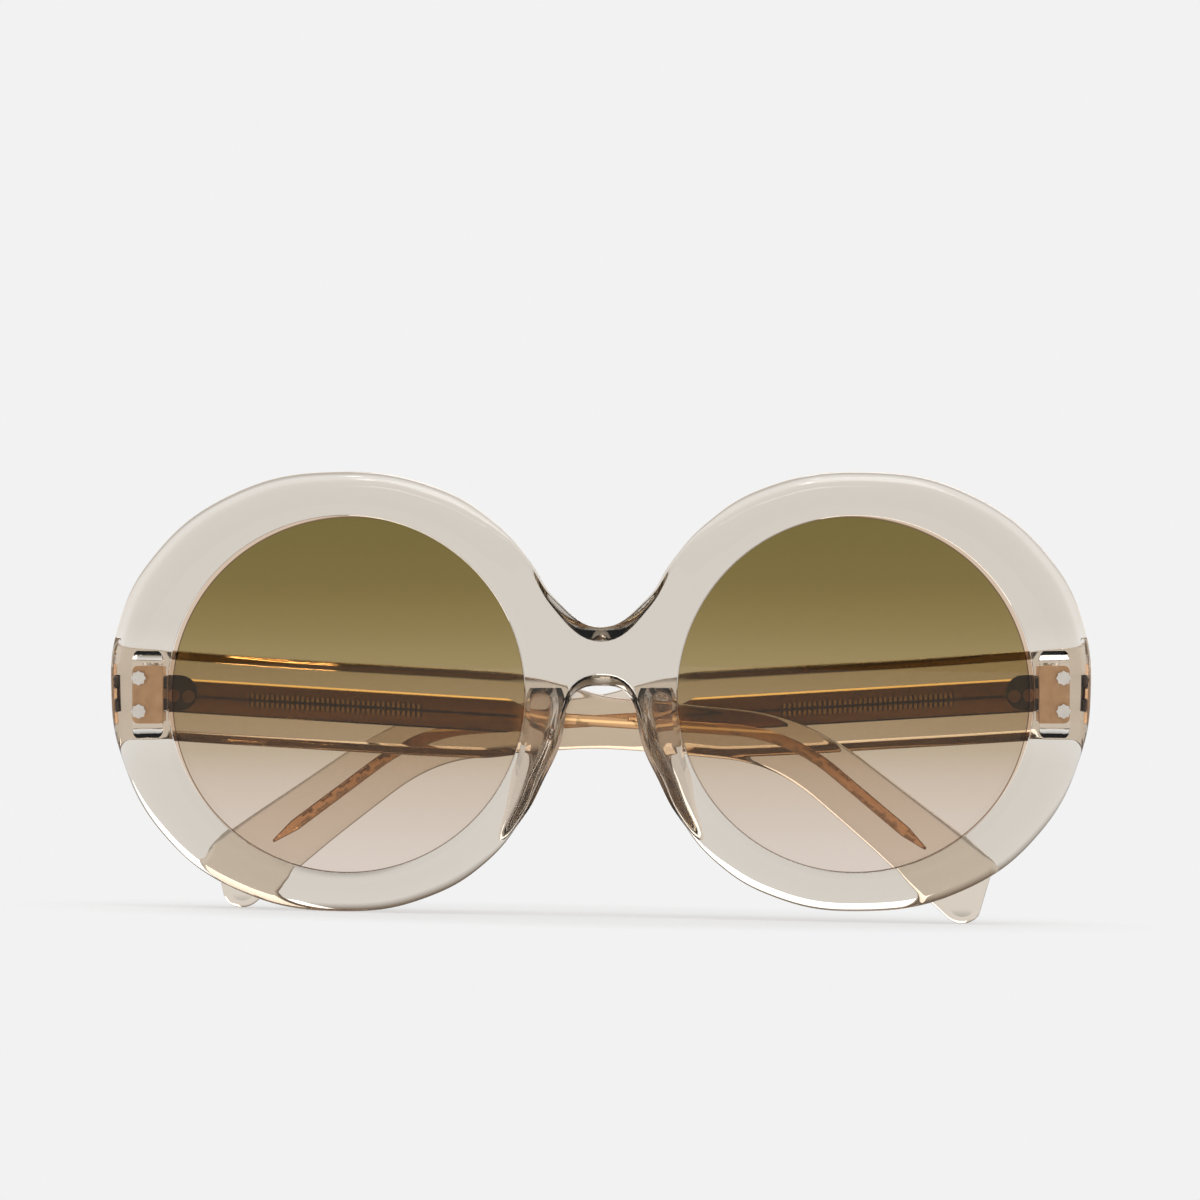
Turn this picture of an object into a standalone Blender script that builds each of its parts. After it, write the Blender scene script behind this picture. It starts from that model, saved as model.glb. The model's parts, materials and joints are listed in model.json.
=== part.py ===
"""Round acetate sunglasses, folded and standing on their rims and temple tips.

Metres, +Z up. X runs across the front and Y runs back from it. Each piece is modelled in the frame of
what carries it: the front in the frame of the glasses, whose zero is at hinge height on the middle of the
bridge's front face, and each temple in the frame of its hinge axis, drawn open and then folded by turning
that frame. Last of all the glasses are stood on the ground, with the ground point under them at the origin.
"""
import math

import bmesh
import bpy
import numpy as np
from mathutils import Matrix, Vector
from mathutils.bvhtree import BVHTree

# Front: overall sizes, from the eyes' middle
RIM_WIDTH = 0.0346
RIM_TOP_HEIGHT = 0.0326
RIM_BOTTOM_DEPTH = 0.03205
FRONT_THICKNESS = 0.0048
FRONT_EDGE_RADIUS = 0.0010
EYE_SPACING = 0.0750
OPENING_DIAMETER = 0.0526
WRAP_ANGLE = math.radians(4.7)
WRAP_BEND_WIDTH = 0.0220

# Bridge and nose
BRIDGE_TOP_HEIGHT = 0.01015
ARCH_TOP_HEIGHT = 0.0012
BRIDGE_BEVEL_HEIGHT = 0.00235
BRIDGE_BEVEL_WIDTH = 0.0175
ARCH_FLARE_HEIGHT = 0.0019
ARCH_FLARE_LENGTH = 0.0230

# Lenses
LENS_DIAMETER = 0.0540
LENS_THICKNESS = 0.0020
LENS_CURVE_RADIUS = 0.1750
GROOVE_SLOPE = 1.35

# Nose pads
PAD_TOP_HEIGHT = 0.0009
PAD_BOTTOM_HEIGHT = -0.0212
PAD_DEPTH = 0.0054
PAD_WIDTH = 0.0050
PAD_LEAN = math.radians(16)
PAD_ROUNDNESS = 0.7

# Five-barrel hinges
HINGE_INSET_WIDTH = 0.0061
HINGE_GAP_DEPTH = 0.0028
HINGE_HEIGHT = 0.0081
HINGE_DROP_HEIGHT = 0.0002
BARREL_RADIUS = 0.0017
KNUCKLE_COUNT = 5
KNUCKLE_GAP = 0.00025
KNUCKLE_BITE_SHARE = 1 / 3
MITRE_DEPTH = 0.0009
ANCHOR_WIDTH = 0.0043
ANCHOR_DEPTH = 0.0015
ANCHOR_CORNER_RADIUS = 0.0008
ANCHOR_POCKET_HEIGHT = 0.0132
LEAF_LIP_WIDTH = 0.0002
STUD_SPACING = 0.0049
STUD_OUTSET_WIDTH = 0.0015
STUD_SHANK_RADIUS = 0.00055
STUD_HEAD_RADIUS = 0.0011
STUD_HEAD_HEIGHT = 0.0007
STUD_REACH_DEPTH = 0.0013
STUD_LOBES = 8
STUD_NOTCH_SHARE = 0.84
SCREW_RADIUS = 0.0007
SCREW_HEAD_RADIUS = 0.00125
SCREW_HEAD_HEIGHT = 0.0006
SCREW_SLOT_WIDTH = 0.0004
PLATE_LENGTH = 0.0066
PLATE_HEIGHT = 0.0052
PLATE_THICKNESS = 0.0009
PLATE_INSET_DEPTH = 0.0001
RIVET_RADIUS = 0.00055
RIVET_HEAD_RADIUS = 0.00095
RIVET_HEAD_HEIGHT = 0.0003
RIVET_START_LENGTH = 0.0031
RIVET_SPACING = 0.0022

# Temples, measured along the middle line from the hinge axis
TEMPLE_RUN_LENGTH = 0.0851
EAR_BEND_RADIUS = 0.0260
TEMPLE_TAIL_LENGTH = 0.0289
TEMPLE_DROP_HEIGHT = 0.0002
TEMPLE_HEIGHT = 0.0130
TEMPLE_THICKNESS = 0.0038
TEMPLE_TAIL_THICKNESS = 0.0032
TEMPLE_EDGE_RADIUS = 0.0008
TEMPLE_OFFSET_WIDTH = 0.0020
TEMPLE_SLOPE = math.radians(3.44)
TIP_UPPER_RADIUS = 0.0018
TIP_LOWER_RADIUS = 0.0032
TIP_SLANT_LENGTH = 0.0013
EAR_DROP = {"left": math.radians(40.1), "right": math.radians(36.8)}
FOLD_ANGLE = {"left": math.radians(92.3), "right": math.radians(88.4)}

# Core wires inside the temples
CORE_START_LENGTH = 0.0015
CORE_STRIP_LENGTH = 0.0495
CORE_TAPER_LENGTH = 0.0040
CORE_LENGTH = 0.1195
CORE_POINT_LENGTH = 0.0040
CORE_STRIP_HEIGHT = 0.0050
CORE_WIRE_HEIGHT = 0.0017
CORE_THICKNESS = 0.0009
CORE_INSET_DEPTH = 0.0013
CORE_BEND_STEPS = 6
CORE_POINT_SHARE = 0.25

# Clearances and how finely round pieces are drawn
FIT_GAP = 0.0003
CUT_OVERRUN_LENGTH = 0.0030
MERGE_DISTANCE = 0.00001
EYE_STEPS = 64
BARREL_STEPS = 20
PIN_STEPS = 14
LENS_ARC_STEPS = 4
OUTLINE_STEPS = 4
TIP_CORNER_STEPS = 5
ANCHOR_CORNER_STEPS = 3
PAD_RING_STEPS = 14
PAD_SECTIONS = 12
SMOOTH_ANGLE = math.radians(32)

SIDES = {"left": -1, "right": 1}
STUD_NAMES = ("upper", "lower")
RIVET_NAMES = ("near", "far")

# Outline of one half of the front. Each row is a place across and a place up, as shares of the stretch named.
V_SIDE_SHARES = ((0.179, 0.183), (0.275, 0.419), (0.403, 0.655), (0.629, 0.889))
OUTER_RIM_SHARES = (
    (0.040, 1.0), (0.488, 0.896), (0.832, 0.600), (0.977, 0.276), (1.0, 0.015), (0.962, -0.271),
    (0.783, -0.643), (0.448, -0.911), (0.0, -1.0),
)
NOSE_SIDE_SHARES = (
    (0.675, 0.934), (0.445, 0.774), (0.300, 0.562), (0.237, 0.403), (0.173, 0.258), (0.141, 0.126),
    (0.091, 0.024),
)
# Temple: place along it as a share of its length, then its reach above and below its middle line as shares
# of its height at the hinge.
TEMPLE_SHAPE_SHARES = (
    (0.0, 0.504, 0.515), (0.155, 0.485, 0.515), (0.371, 0.492, 0.496), (0.417, 0.475, 0.425),
    (0.464, 0.385, 0.350), (0.510, 0.288, 0.308), (0.587, 0.254, 0.315), (0.665, 0.235, 0.340),
    (0.750, 0.270, 0.368), (0.790, 0.308, 0.370), (0.865, 0.346, 0.385), (0.925, 0.377, 0.415),
    (1.0, 0.400, 0.440),
)
TEMPLE_STATION_SHARES = (
    0.0, 0.155, 0.345, 0.371, 0.395, 0.417, 0.440, 0.464, 0.487, 0.510, 0.545, 0.587, 0.63,
    0.665, 0.69, 0.715, 0.74, 0.765, 0.79, 0.83, 0.88, 0.94, 1.0,
)
# Nose pad: place down it, its width and its depth as shares of its own sizes, and how far its middle lies
# towards the nose, as a share of the rim's width there.
PAD_SHAPE_SHARES = (
    (0.0, 0.80, 0.55, 0.42), (0.04, 0.94, 0.72, 0.42), (0.12, 1.0, 0.88, 0.40), (0.28, 0.97, 1.0, 0.35),
    (0.48, 0.86, 1.0, 0.27), (0.68, 0.68, 0.84, 0.20), (0.86, 0.42, 0.56, 0.12), (1.0, 0.12, 0.22, 0.06),
)

# Sizes that follow from the ones above
EYE_X = EYE_SPACING / 2
HALF_WIDTH = EYE_X + RIM_WIDTH
HINGE_X = HALF_WIDTH - HINGE_INSET_WIDTH
WRAP_SLOPE = math.tan(WRAP_ANGLE)
WRAP_BEND_HALF = WRAP_BEND_WIDTH / 2
LENS_RADIUS = LENS_DIAMETER / 2
OPENING_RADIUS = OPENING_DIAMETER / 2
KNUCKLE_HEIGHT = (HINGE_HEIGHT - (KNUCKLE_COUNT - 1) * KNUCKLE_GAP) / KNUCKLE_COUNT
BORE_RADIUS = SCREW_RADIUS + FIT_GAP
TEMPLE_LEAD = HINGE_GAP_DEPTH + MITRE_DEPTH - FIT_GAP


def wrap_depth(x):
    """How far back the front's face lies at a place across it: flat eyes joined by a bent bridge."""
    reach = abs(x)
    if reach < WRAP_BEND_HALF:
        return WRAP_SLOPE * reach * reach / (2 * WRAP_BEND_HALF)
    return WRAP_SLOPE * (reach - WRAP_BEND_HALF / 2)


HINGE_Y = wrap_depth(HINGE_X) + FRONT_THICKNESS / math.cos(WRAP_ANGLE) + HINGE_GAP_DEPTH


def smooth_step(value):
    """A share from 0 to 1 eased at both ends."""
    share = min(max(value, 0.0), 1.0)
    return share * share * (3 - 2 * share)


def smooth_row(rows, place):
    """Read a table of shares at a place, along a smooth curve through its rows."""
    places = [row[0] for row in rows]
    last = len(rows) - 2
    i = min(max(int(np.searchsorted(places, place)) - 1, 0), last)
    before = rows[max(i - 1, 0)]
    start = rows[i]
    end = rows[i + 1]
    after = rows[min(i + 2, last + 1)]
    span = end[0] - start[0]
    t = (place - start[0]) / span
    values = []
    for k in range(1, len(start)):
        rate_start = (end[k] - before[k]) / (end[0] - before[0])
        rate_end = (after[k] - start[k]) / (after[0] - start[0])
        values.append(
            (2 * t**3 - 3 * t**2 + 1) * start[k] + (t**3 - 2 * t**2 + t) * span * rate_start
            + (3 * t**2 - 2 * t**3) * end[k] + (t**3 - t**2) * span * rate_end
        )
    return values


def arc(centre, radius, start, end, steps):
    """Points along an arc, angles in radians."""
    angles = np.linspace(start, end, steps + 1)
    return [(centre[0] + radius * math.cos(a), centre[1] + radius * math.sin(a)) for a in angles]


def circle(centre, radius, steps):
    """Points around a circle."""
    return arc(centre, radius, 0.0, math.tau * (steps - 1) / steps, steps - 1)


def clear_scene():
    """Remove every object that is there at the start."""
    for obj in list(bpy.data.objects):
        bpy.data.objects.remove(obj, do_unlink=True)


def collection(name):
    """A new collection in the scene."""
    group = bpy.data.collections.new(name)
    bpy.context.scene.collection.children.link(group)
    return group


def finish(name, colour, roughness, metallic=0.0, transmission=0.0):
    """A material for one piece."""
    material = bpy.data.materials.new(name)
    material.use_nodes = True
    shader = material.node_tree.nodes["Principled BSDF"]
    shader.inputs["Base Color"].default_value = (*colour, 1.0)
    shader.inputs["Roughness"].default_value = roughness
    shader.inputs["Metallic"].default_value = metallic
    shader.inputs["Transmission Weight"].default_value = transmission
    return material


ACETATE = ((0.80, 0.74, 0.66), 0.12, 0.0, 0.8)
PAD_ACETATE = ((0.62, 0.47, 0.38), 0.15, 0.0, 0.7)
LENS_TINT = ((0.42, 0.36, 0.22), 0.05, 0.0, 0.7)
COPPER = ((0.72, 0.45, 0.28), 0.30, 1.0, 0.0)
GOLD = ((0.78, 0.58, 0.32), 0.28, 1.0, 0.0)
DARK_STEEL = ((0.20, 0.18, 0.16), 0.35, 1.0, 0.0)


def add_object(name, mesh, parent, look):
    """Put a mesh in the scene as a named piece carried by its parent."""
    obj = bpy.data.objects.new(name, mesh)
    PARTS.objects.link(obj)
    obj.parent = parent
    mesh.materials.clear()
    mesh.materials.append(finish(name, *look))
    mesh.shade_smooth()
    mesh.set_sharp_from_angle(angle=SMOOTH_ANGLE)
    return obj


def add_cutter(name, mesh, parent):
    """Put a mesh in the scene as a tool that cuts others and isn't a piece itself."""
    obj = bpy.data.objects.new(name, mesh)
    CUTTERS.objects.link(obj)
    obj.parent = parent
    obj.hide_render = True
    obj.display_type = "WIRE"
    return obj


def boolean(target, cutter, operation="DIFFERENCE"):
    """Cut a piece with another, or join the two."""
    modifier = target.modifiers.new(cutter.name, "BOOLEAN")
    modifier.operation = operation
    modifier.solver = "EXACT"
    modifier.object = cutter


def reshape(mesh, rule):
    """Move every point of a mesh by a rule that takes and returns a vector."""
    for vertex in mesh.vertices:
        vertex.co = rule(vertex.co.copy())
    mesh.update()


def to_side(mesh, side):
    """Mirror a mesh drawn for the right side when it is for the left one."""
    if SIDES[side] < 0:
        mesh.transform(Matrix.Scale(-1.0, 4, Vector((1.0, 0.0, 0.0))))
        mesh.flip_normals()
    return mesh


def flat_mesh(name, loops, thickness, rounding=0.0, rounding_steps=2, smooth_loops=()):
    """A filled 2D curve with a thickness as a mesh, drawn in X and Y with its middle at Z zero.

    The first loop is the outline, and the others are holes. A loop in smooth_loops is a smooth curve
    through its points, and the others run straight from point to point.
    """
    curve = bpy.data.curves.new(name, "CURVE")
    curve.dimensions = "2D"
    curve.fill_mode = "BOTH"
    curve.extrude = thickness / 2 - rounding
    curve.bevel_depth = rounding
    curve.bevel_resolution = rounding_steps
    curve.offset = -rounding
    for index, points in enumerate(loops):
        if index in smooth_loops:
            spline = curve.splines.new("BEZIER")
            spline.bezier_points.add(len(points) - 1)
            for knot, (x, y) in zip(spline.bezier_points, points):
                knot.co = (x, y, 0.0)
                knot.handle_left_type = "AUTO"
                knot.handle_right_type = "AUTO"
            spline.resolution_u = OUTLINE_STEPS
        else:
            spline = curve.splines.new("POLY")
            spline.points.add(len(points) - 1)
            for knot, (x, y) in zip(spline.points, points):
                knot.co = (x, y, 0.0, 1.0)
        spline.use_cyclic_u = True
    guide = bpy.data.objects.new(name + "_outline", curve)
    bpy.context.scene.collection.objects.link(guide)
    bpy.context.view_layer.update()
    evaluated = guide.evaluated_get(bpy.context.evaluated_depsgraph_get())
    mesh = bpy.data.meshes.new_from_object(evaluated)
    bpy.data.objects.remove(guide, do_unlink=True)
    weld(mesh)
    return mesh


def weld(mesh):
    """Join the loose caps of a mesh and turn its faces outward."""
    work = bmesh.new()
    work.from_mesh(mesh)
    bmesh.ops.remove_doubles(work, verts=work.verts, dist=MERGE_DISTANCE)
    bmesh.ops.recalc_face_normals(work, faces=work.faces)
    work.to_mesh(mesh)
    work.free()


def upright(mesh):
    """Turn a mesh drawn in X and Y so that its Y points up and its thickness runs back."""
    mesh.transform(Matrix.Rotation(math.radians(90), 4, "X"))
    return mesh


def turned(name, profile, steps):
    """A body turned about Z from a profile of radius and height, top to bottom, as a mesh."""
    mesh = bpy.data.meshes.new(name)
    points = [(radius, 0.0, height) for radius, height in profile]
    edges = [(i, i + 1) for i in range(len(points) - 1)]
    mesh.from_pydata(points, edges, [])
    guide = bpy.data.objects.new(name + "_profile", mesh)
    bpy.context.scene.collection.objects.link(guide)
    screw = guide.modifiers.new("turn", "SCREW")
    screw.steps = steps
    screw.render_steps = steps
    screw.use_merge_vertices = True
    screw.merge_threshold = MERGE_DISTANCE
    screw.use_normal_calculate = True
    bpy.context.view_layer.update()
    evaluated = guide.evaluated_get(bpy.context.evaluated_depsgraph_get())
    body = bpy.data.meshes.new_from_object(evaluated)
    bpy.data.objects.remove(guide, do_unlink=True)
    weld(body)
    return body


def box_mesh(name, low, high):
    """A box between two corners."""
    work = bmesh.new()
    bmesh.ops.create_cube(work, size=1.0)
    low = Vector(low)
    high = Vector(high)
    size = high - low
    middle = (low + high) / 2
    for vertex in work.verts:
        vertex.co = Vector([vertex.co[k] * size[k] + middle[k] for k in range(3)])
    mesh = bpy.data.meshes.new(name)
    work.to_mesh(mesh)
    work.free()
    return mesh


def pin_mesh(name, radius, start, end, across, along):
    """A cylinder that runs back along Y, at a place across and up."""
    work = bmesh.new()
    bmesh.ops.create_cone(
        work, cap_ends=True, segments=PIN_STEPS, radius1=radius, radius2=radius, depth=abs(end - start)
    )
    bmesh.ops.rotate(work, verts=work.verts, matrix=Matrix.Rotation(math.radians(90), 3, "X"))
    bmesh.ops.translate(work, verts=work.verts, vec=(across, (start + end) / 2, along))
    mesh = bpy.data.meshes.new(name)
    work.to_mesh(mesh)
    work.free()
    return mesh


def front_outline():
    """The outer outline of the front: both rims joined by the bridge."""
    half = [(0.0, BRIDGE_TOP_HEIGHT)]
    for across, up in V_SIDE_SHARES:
        half.append((across * EYE_X, BRIDGE_TOP_HEIGHT + up * (RIM_TOP_HEIGHT - BRIDGE_TOP_HEIGHT)))
    for across, up in OUTER_RIM_SHARES:
        height = RIM_TOP_HEIGHT if up > 0 else RIM_BOTTOM_DEPTH
        half.append((EYE_X + across * (HALF_WIDTH - EYE_X), up * height))
    for across, down in NOSE_SIDE_SHARES:
        half.append((across * EYE_X, ARCH_TOP_HEIGHT - down * (ARCH_TOP_HEIGHT + RIM_BOTTOM_DEPTH)))
    half.append((0.0, ARCH_TOP_HEIGHT))
    mirrored = [(-x, z) for x, z in reversed(half[1:-1])]
    return half + mirrored


def shape_front(point):
    """Slope the bridge's top and the arch over the nose, then bend the front round the face."""
    x, y, z = point
    depth_share = y / FRONT_THICKNESS
    middle = (BRIDGE_TOP_HEIGHT + ARCH_TOP_HEIGHT) / 2
    towards_eye = (Vector((abs(x), z)) - Vector((EYE_X, 0.0))).length
    on_outline = smooth_step((towards_eye - OPENING_RADIUS - FRONT_EDGE_RADIUS) / FRONT_EDGE_RADIUS)
    if z > middle:
        away = Vector((abs(x), z - RIM_TOP_HEIGHT)).normalized()
        share = depth_share * (1 - smooth_step(abs(x) / BRIDGE_BEVEL_WIDTH)) * on_outline
        slide = BRIDGE_BEVEL_HEIGHT * share
        x += math.copysign(away.x * slide, x) if x else 0.0
        z += away.y * slide
    else:
        drop = ARCH_TOP_HEIGHT - z
        share = depth_share * (1 - smooth_step(drop / ARCH_FLARE_LENGTH)) * on_outline
        slide = ARCH_FLARE_HEIGHT * share * (1 - smooth_step(abs(x) / BRIDGE_BEVEL_WIDTH))
        lean = min(abs(x) / OPENING_RADIUS + drop / ARCH_FLARE_LENGTH, 1.0)
        x += math.copysign(slide * lean, x) if x else 0.0
        z += slide * (1 - lean)
    return Vector((x, y + wrap_depth(x), z))


def eye_frame(side):
    """Where an eye's middle lies on the front's face, square to that eye."""
    sign = SIDES[side]
    place = Matrix.Translation((sign * EYE_X, wrap_depth(EYE_X), 0.0))
    return place @ Matrix.Rotation(sign * WRAP_ANGLE, 4, "Z")


def lens_edge_depth():
    """How far behind the eye's face the lens edge and its groove lie."""
    return FRONT_THICKNESS / 2


def make_front(carrier):
    """The front, with lens grooves, hinge seats and sockets for the hinges' studs."""
    eyes = [circle((sign * EYE_X, 0.0), OPENING_RADIUS, EYE_STEPS) for sign in SIDES.values()]
    loops = [front_outline()] + eyes
    mesh = flat_mesh("front", loops, FRONT_THICKNESS, FRONT_EDGE_RADIUS, 2, smooth_loops=(0,))
    upright(mesh)
    mesh.transform(Matrix.Translation((0.0, FRONT_THICKNESS / 2, 0.0)))
    reshape(mesh, shape_front)
    front = add_object("front_frame", mesh, carrier, ACETATE)
    for side in SIDES:
        groove = add_cutter("groove_cutter_" + side, groove_mesh(side), carrier)
        boolean(front, groove)
        for number, cut in enumerate(hinge_seat_meshes(side)):
            boolean(front, add_cutter(f"hinge_seat_cutter_{side}_{number}", cut, carrier))
    return front


def groove_mesh(side):
    """The cutter of a lens groove: a ring with a pointed outer edge."""
    root = LENS_RADIUS + FIT_GAP
    mouth = OPENING_RADIUS - FRONT_EDGE_RADIUS
    half = GROOVE_SLOPE * (root - OPENING_RADIUS)
    profile = [(root, 0.0), (OPENING_RADIUS, -half), (mouth, -half), (mouth, half), (OPENING_RADIUS, half)]
    mesh = ring_mesh("groove_" + side, profile, EYE_STEPS)
    upright(mesh)
    mesh.transform(eye_frame(side) @ Matrix.Translation((0.0, lens_edge_depth(), 0.0)))
    return mesh


def ring_mesh(name, profile, steps):
    """A ring turned about Z from a closed profile of radius and height."""
    work = bmesh.new()
    corners = [work.verts.new((radius, 0.0, height)) for radius, height in profile]
    work.edges.new((corners[-1], corners[0]))
    for first, second in zip(corners, corners[1:]):
        work.edges.new((first, second))
    bmesh.ops.spin(
        work, geom=list(work.verts) + list(work.edges), cent=(0.0, 0.0, 0.0), axis=(0.0, 0.0, 1.0),
        angle=math.tau, steps=steps, use_merge=True
    )
    bmesh.ops.remove_doubles(work, verts=work.verts, dist=MERGE_DISTANCE)
    bmesh.ops.recalc_face_normals(work, faces=work.faces)
    mesh = bpy.data.meshes.new(name)
    work.to_mesh(mesh)
    work.free()
    return mesh


def make_lens(side, carrier):
    """A lens: part of a hollow sphere with a pointed edge that sits in the rim's groove."""
    half = LENS_THICKNESS / 2
    shoulder = LENS_RADIUS - half / GROOVE_SLOPE
    rise = LENS_CURVE_RADIUS - math.sqrt(LENS_CURVE_RADIUS**2 - shoulder**2)
    spread = math.asin(shoulder / LENS_CURVE_RADIUS)
    angles = [spread * i / LENS_ARC_STEPS for i in range(LENS_ARC_STEPS + 1)]
    base = half - (LENS_CURVE_RADIUS - rise)
    dome = [(LENS_CURVE_RADIUS * math.sin(a), base + LENS_CURVE_RADIUS * math.cos(a)) for a in angles]
    back = [(radius, height - LENS_THICKNESS) for radius, height in reversed(dome)]
    back[-1] = (0.0, back[-1][1])
    mesh = turned("lens_" + side, dome + [(LENS_RADIUS, 0.0)] + back, EYE_STEPS)
    upright(mesh)
    mesh.transform(eye_frame(side) @ Matrix.Translation((0.0, lens_edge_depth(), 0.0)))
    return add_object("lens_" + side, mesh, carrier, LENS_TINT)


def rim_edges(z):
    """Where the nose side of the front's outline and the lens opening's edge lie at a height."""
    rows = [(down, across) for across, down in ((0.0, 0.0),) + tuple(reversed(NOSE_SIDE_SHARES))]
    down = (ARCH_TOP_HEIGHT - z) / (ARCH_TOP_HEIGHT + RIM_BOTTOM_DEPTH)
    nose = smooth_row(rows, max(down, 0.0))[0] * EYE_X
    opening = EYE_X - math.sqrt(OPENING_RADIUS**2 - z * z)
    return nose, opening


def make_nose_pad(side, carrier):
    """A nose pad: a pinched saddle that tapers to a point down the inner edge of the rim."""
    rings = []
    for number in range(PAD_SECTIONS):
        down = number / (PAD_SECTIONS - 1)
        width, depth, middle = smooth_row(PAD_SHAPE_SHARES, down)
        z = PAD_TOP_HEIGHT + down * (PAD_BOTTOM_HEIGHT - PAD_TOP_HEIGHT)
        nose, opening = rim_edges(z)
        nose = max(nose, EYE_X * NOSE_SIDE_SHARES[-2][0])
        centre = nose + middle * (opening - nose)
        half = width * PAD_WIDTH / 2
        seat = FRONT_THICKNESS / math.cos(WRAP_ANGLE) + FIT_GAP
        ring = []
        for step in range(PAD_RING_STEPS + 1):
            angle = math.pi * step / PAD_RING_STEPS
            out = math.sin(angle) ** PAD_ROUNDNESS * depth * PAD_DEPTH
            across = centre - half * math.cos(angle) + out * math.tan(PAD_LEAN)
            ring.append((across, seat + wrap_depth(across) + out, z))
        rings.append(ring)
    mesh = loft_mesh("nose_pad_" + side, rings)
    return add_object("nose_pad_" + side, to_side(mesh, side), carrier, PAD_ACETATE)


def loft_mesh(name, rings):
    """A closed body through rings of equal count, capped at both ends."""
    work = bmesh.new()
    rows = [[work.verts.new(point) for point in ring] for ring in rings]
    count = len(rows[0])
    for upper, lower in zip(rows, rows[1:]):
        for i in range(count):
            j = (i + 1) % count
            work.faces.new((upper[i], upper[j], lower[j], lower[i]))
    work.faces.new(rows[0])
    work.faces.new(list(reversed(rows[-1])))
    bmesh.ops.triangulate(work, faces=work.faces)
    bmesh.ops.recalc_face_normals(work, faces=work.faces)
    mesh = bpy.data.meshes.new(name)
    work.to_mesh(mesh)
    work.free()
    return mesh


def hinge_frame(side, turn=0.0):
    """The frame of a hinge axis: X outboard for the right side, Y back, Z up."""
    place = Matrix.Translation((SIDES[side] * HINGE_X, HINGE_Y, -HINGE_DROP_HEIGHT))
    return place @ Matrix.Rotation(SIDES[side] * turn, 4, "Z")


def seat_y():
    """The milled seat behind the front, measured from the hinge axis."""
    return -(HINGE_GAP_DEPTH * math.cos(WRAP_ANGLE) + MITRE_DEPTH)


def stud_places():
    """Across and up for the two studs of a hinge."""
    return [(STUD_OUTSET_WIDTH, STUD_SPACING / 2), (STUD_OUTSET_WIDTH, -STUD_SPACING / 2)]


def anchor_span():
    """The anchor block's inner and outer sides, from the hinge axis."""
    inner = -BARREL_RADIUS - LEAF_LIP_WIDTH
    return inner, inner + ANCHOR_WIDTH


def hinge_seat_meshes(side):
    """Cutters for the milled seat, the anchor block's pocket and the studs' sockets."""
    seat = seat_y()
    inner, outer = anchor_span()
    half_seat = TEMPLE_HEIGHT * TEMPLE_SHAPE_SHARES[0][2] + TEMPLE_DROP_HEIGHT + FIT_GAP
    half_pocket = ANCHOR_POCKET_HEIGHT / 2
    reach = HALF_WIDTH - HINGE_X + CUT_OVERRUN_LENGTH
    floor = seat - ANCHOR_DEPTH - FIT_GAP
    beyond = outer + FIT_GAP
    pieces = [
        box_mesh("seat", (inner - FIT_GAP, seat, -half_seat), (reach, CUT_OVERRUN_LENGTH, half_seat)),
        box_mesh("pocket", (inner - FIT_GAP, floor, -half_pocket), (beyond, seat + FIT_GAP, half_pocket)),
    ]
    end = seat - ANCHOR_DEPTH - STUD_REACH_DEPTH - FIT_GAP
    for across, up in stud_places():
        pieces.append(
            pin_mesh("socket", STUD_HEAD_RADIUS + FIT_GAP, end, floor + FIT_GAP, across, up)
        )
    placed = []
    for mesh in pieces:
        to_side(mesh, side)
        mesh.transform(hinge_frame(side, WRAP_ANGLE))
        placed.append(mesh)
    return placed


def knuckle_span(number):
    """Bottom and top of a knuckle, counted from below, from the hinge's middle height."""
    bottom = -HINGE_HEIGHT / 2 + number * (KNUCKLE_HEIGHT + KNUCKLE_GAP)
    return bottom, bottom + KNUCKLE_HEIGHT


def knuckle_mesh(name, number, arc_start, corners):
    """One knuckle: a bored barrel round the axis, half an arc from its start, with a web to two corners."""
    body = arc((0.0, 0.0), BARREL_RADIUS, arc_start, arc_start + math.pi, BARREL_STEPS // 2) + corners
    bore = circle((0.0, 0.0), BORE_RADIUS, PIN_STEPS)
    bottom, top = knuckle_span(number)
    mesh = flat_mesh(name, [body, bore], top - bottom)
    mesh.transform(Matrix.Translation((0.0, 0.0, (bottom + top) / 2)))
    return mesh


def make_front_hinge(side, carrier):
    """The hinge leaf on the front: an anchor block let into a longer pocket, with three knuckles."""
    seat = seat_y()
    inner, outer = anchor_span()
    half = HINGE_HEIGHT / 2 + LEAF_LIP_WIDTH
    side_of_corners = outer - ANCHOR_CORNER_RADIUS
    corner_up = half - ANCHOR_CORNER_RADIUS
    outline = [(inner, half), (inner, -half)]
    outline += arc((side_of_corners, -corner_up), ANCHOR_CORNER_RADIUS, -math.pi / 2, 0.0, ANCHOR_CORNER_STEPS)
    outline += arc((side_of_corners, corner_up), ANCHOR_CORNER_RADIUS, 0.0, math.pi / 2, ANCHOR_CORNER_STEPS)
    holes = [circle(place, STUD_SHANK_RADIUS + FIT_GAP, PIN_STEPS) for place in stud_places()]
    mesh = flat_mesh("front_hinge_" + side, [outline] + holes, ANCHOR_DEPTH)
    upright(mesh)
    mesh.transform(Matrix.Translation((0.0, seat - ANCHOR_DEPTH / 2, 0.0)))
    hinge = add_object("front_hinge_" + side, mesh, carrier, COPPER)
    into_block = seat - KNUCKLE_BITE_SHARE * ANCHOR_DEPTH
    web_side = STUD_OUTSET_WIDTH - STUD_SHANK_RADIUS - 2 * FIT_GAP
    corners = [(-BARREL_RADIUS, into_block), (web_side, into_block)]
    to_side(mesh, side)
    mesh.transform(hinge_frame(side, WRAP_ANGLE))
    for number in range(0, KNUCKLE_COUNT, 2):
        knuckle = knuckle_mesh(f"front_knuckle_{side}_{number}", number, 0.0, corners)
        to_side(knuckle, side)
        knuckle.transform(hinge_frame(side, WRAP_ANGLE))
        boolean(hinge, add_cutter(knuckle.name, knuckle, carrier), "UNION")
    return hinge


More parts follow.
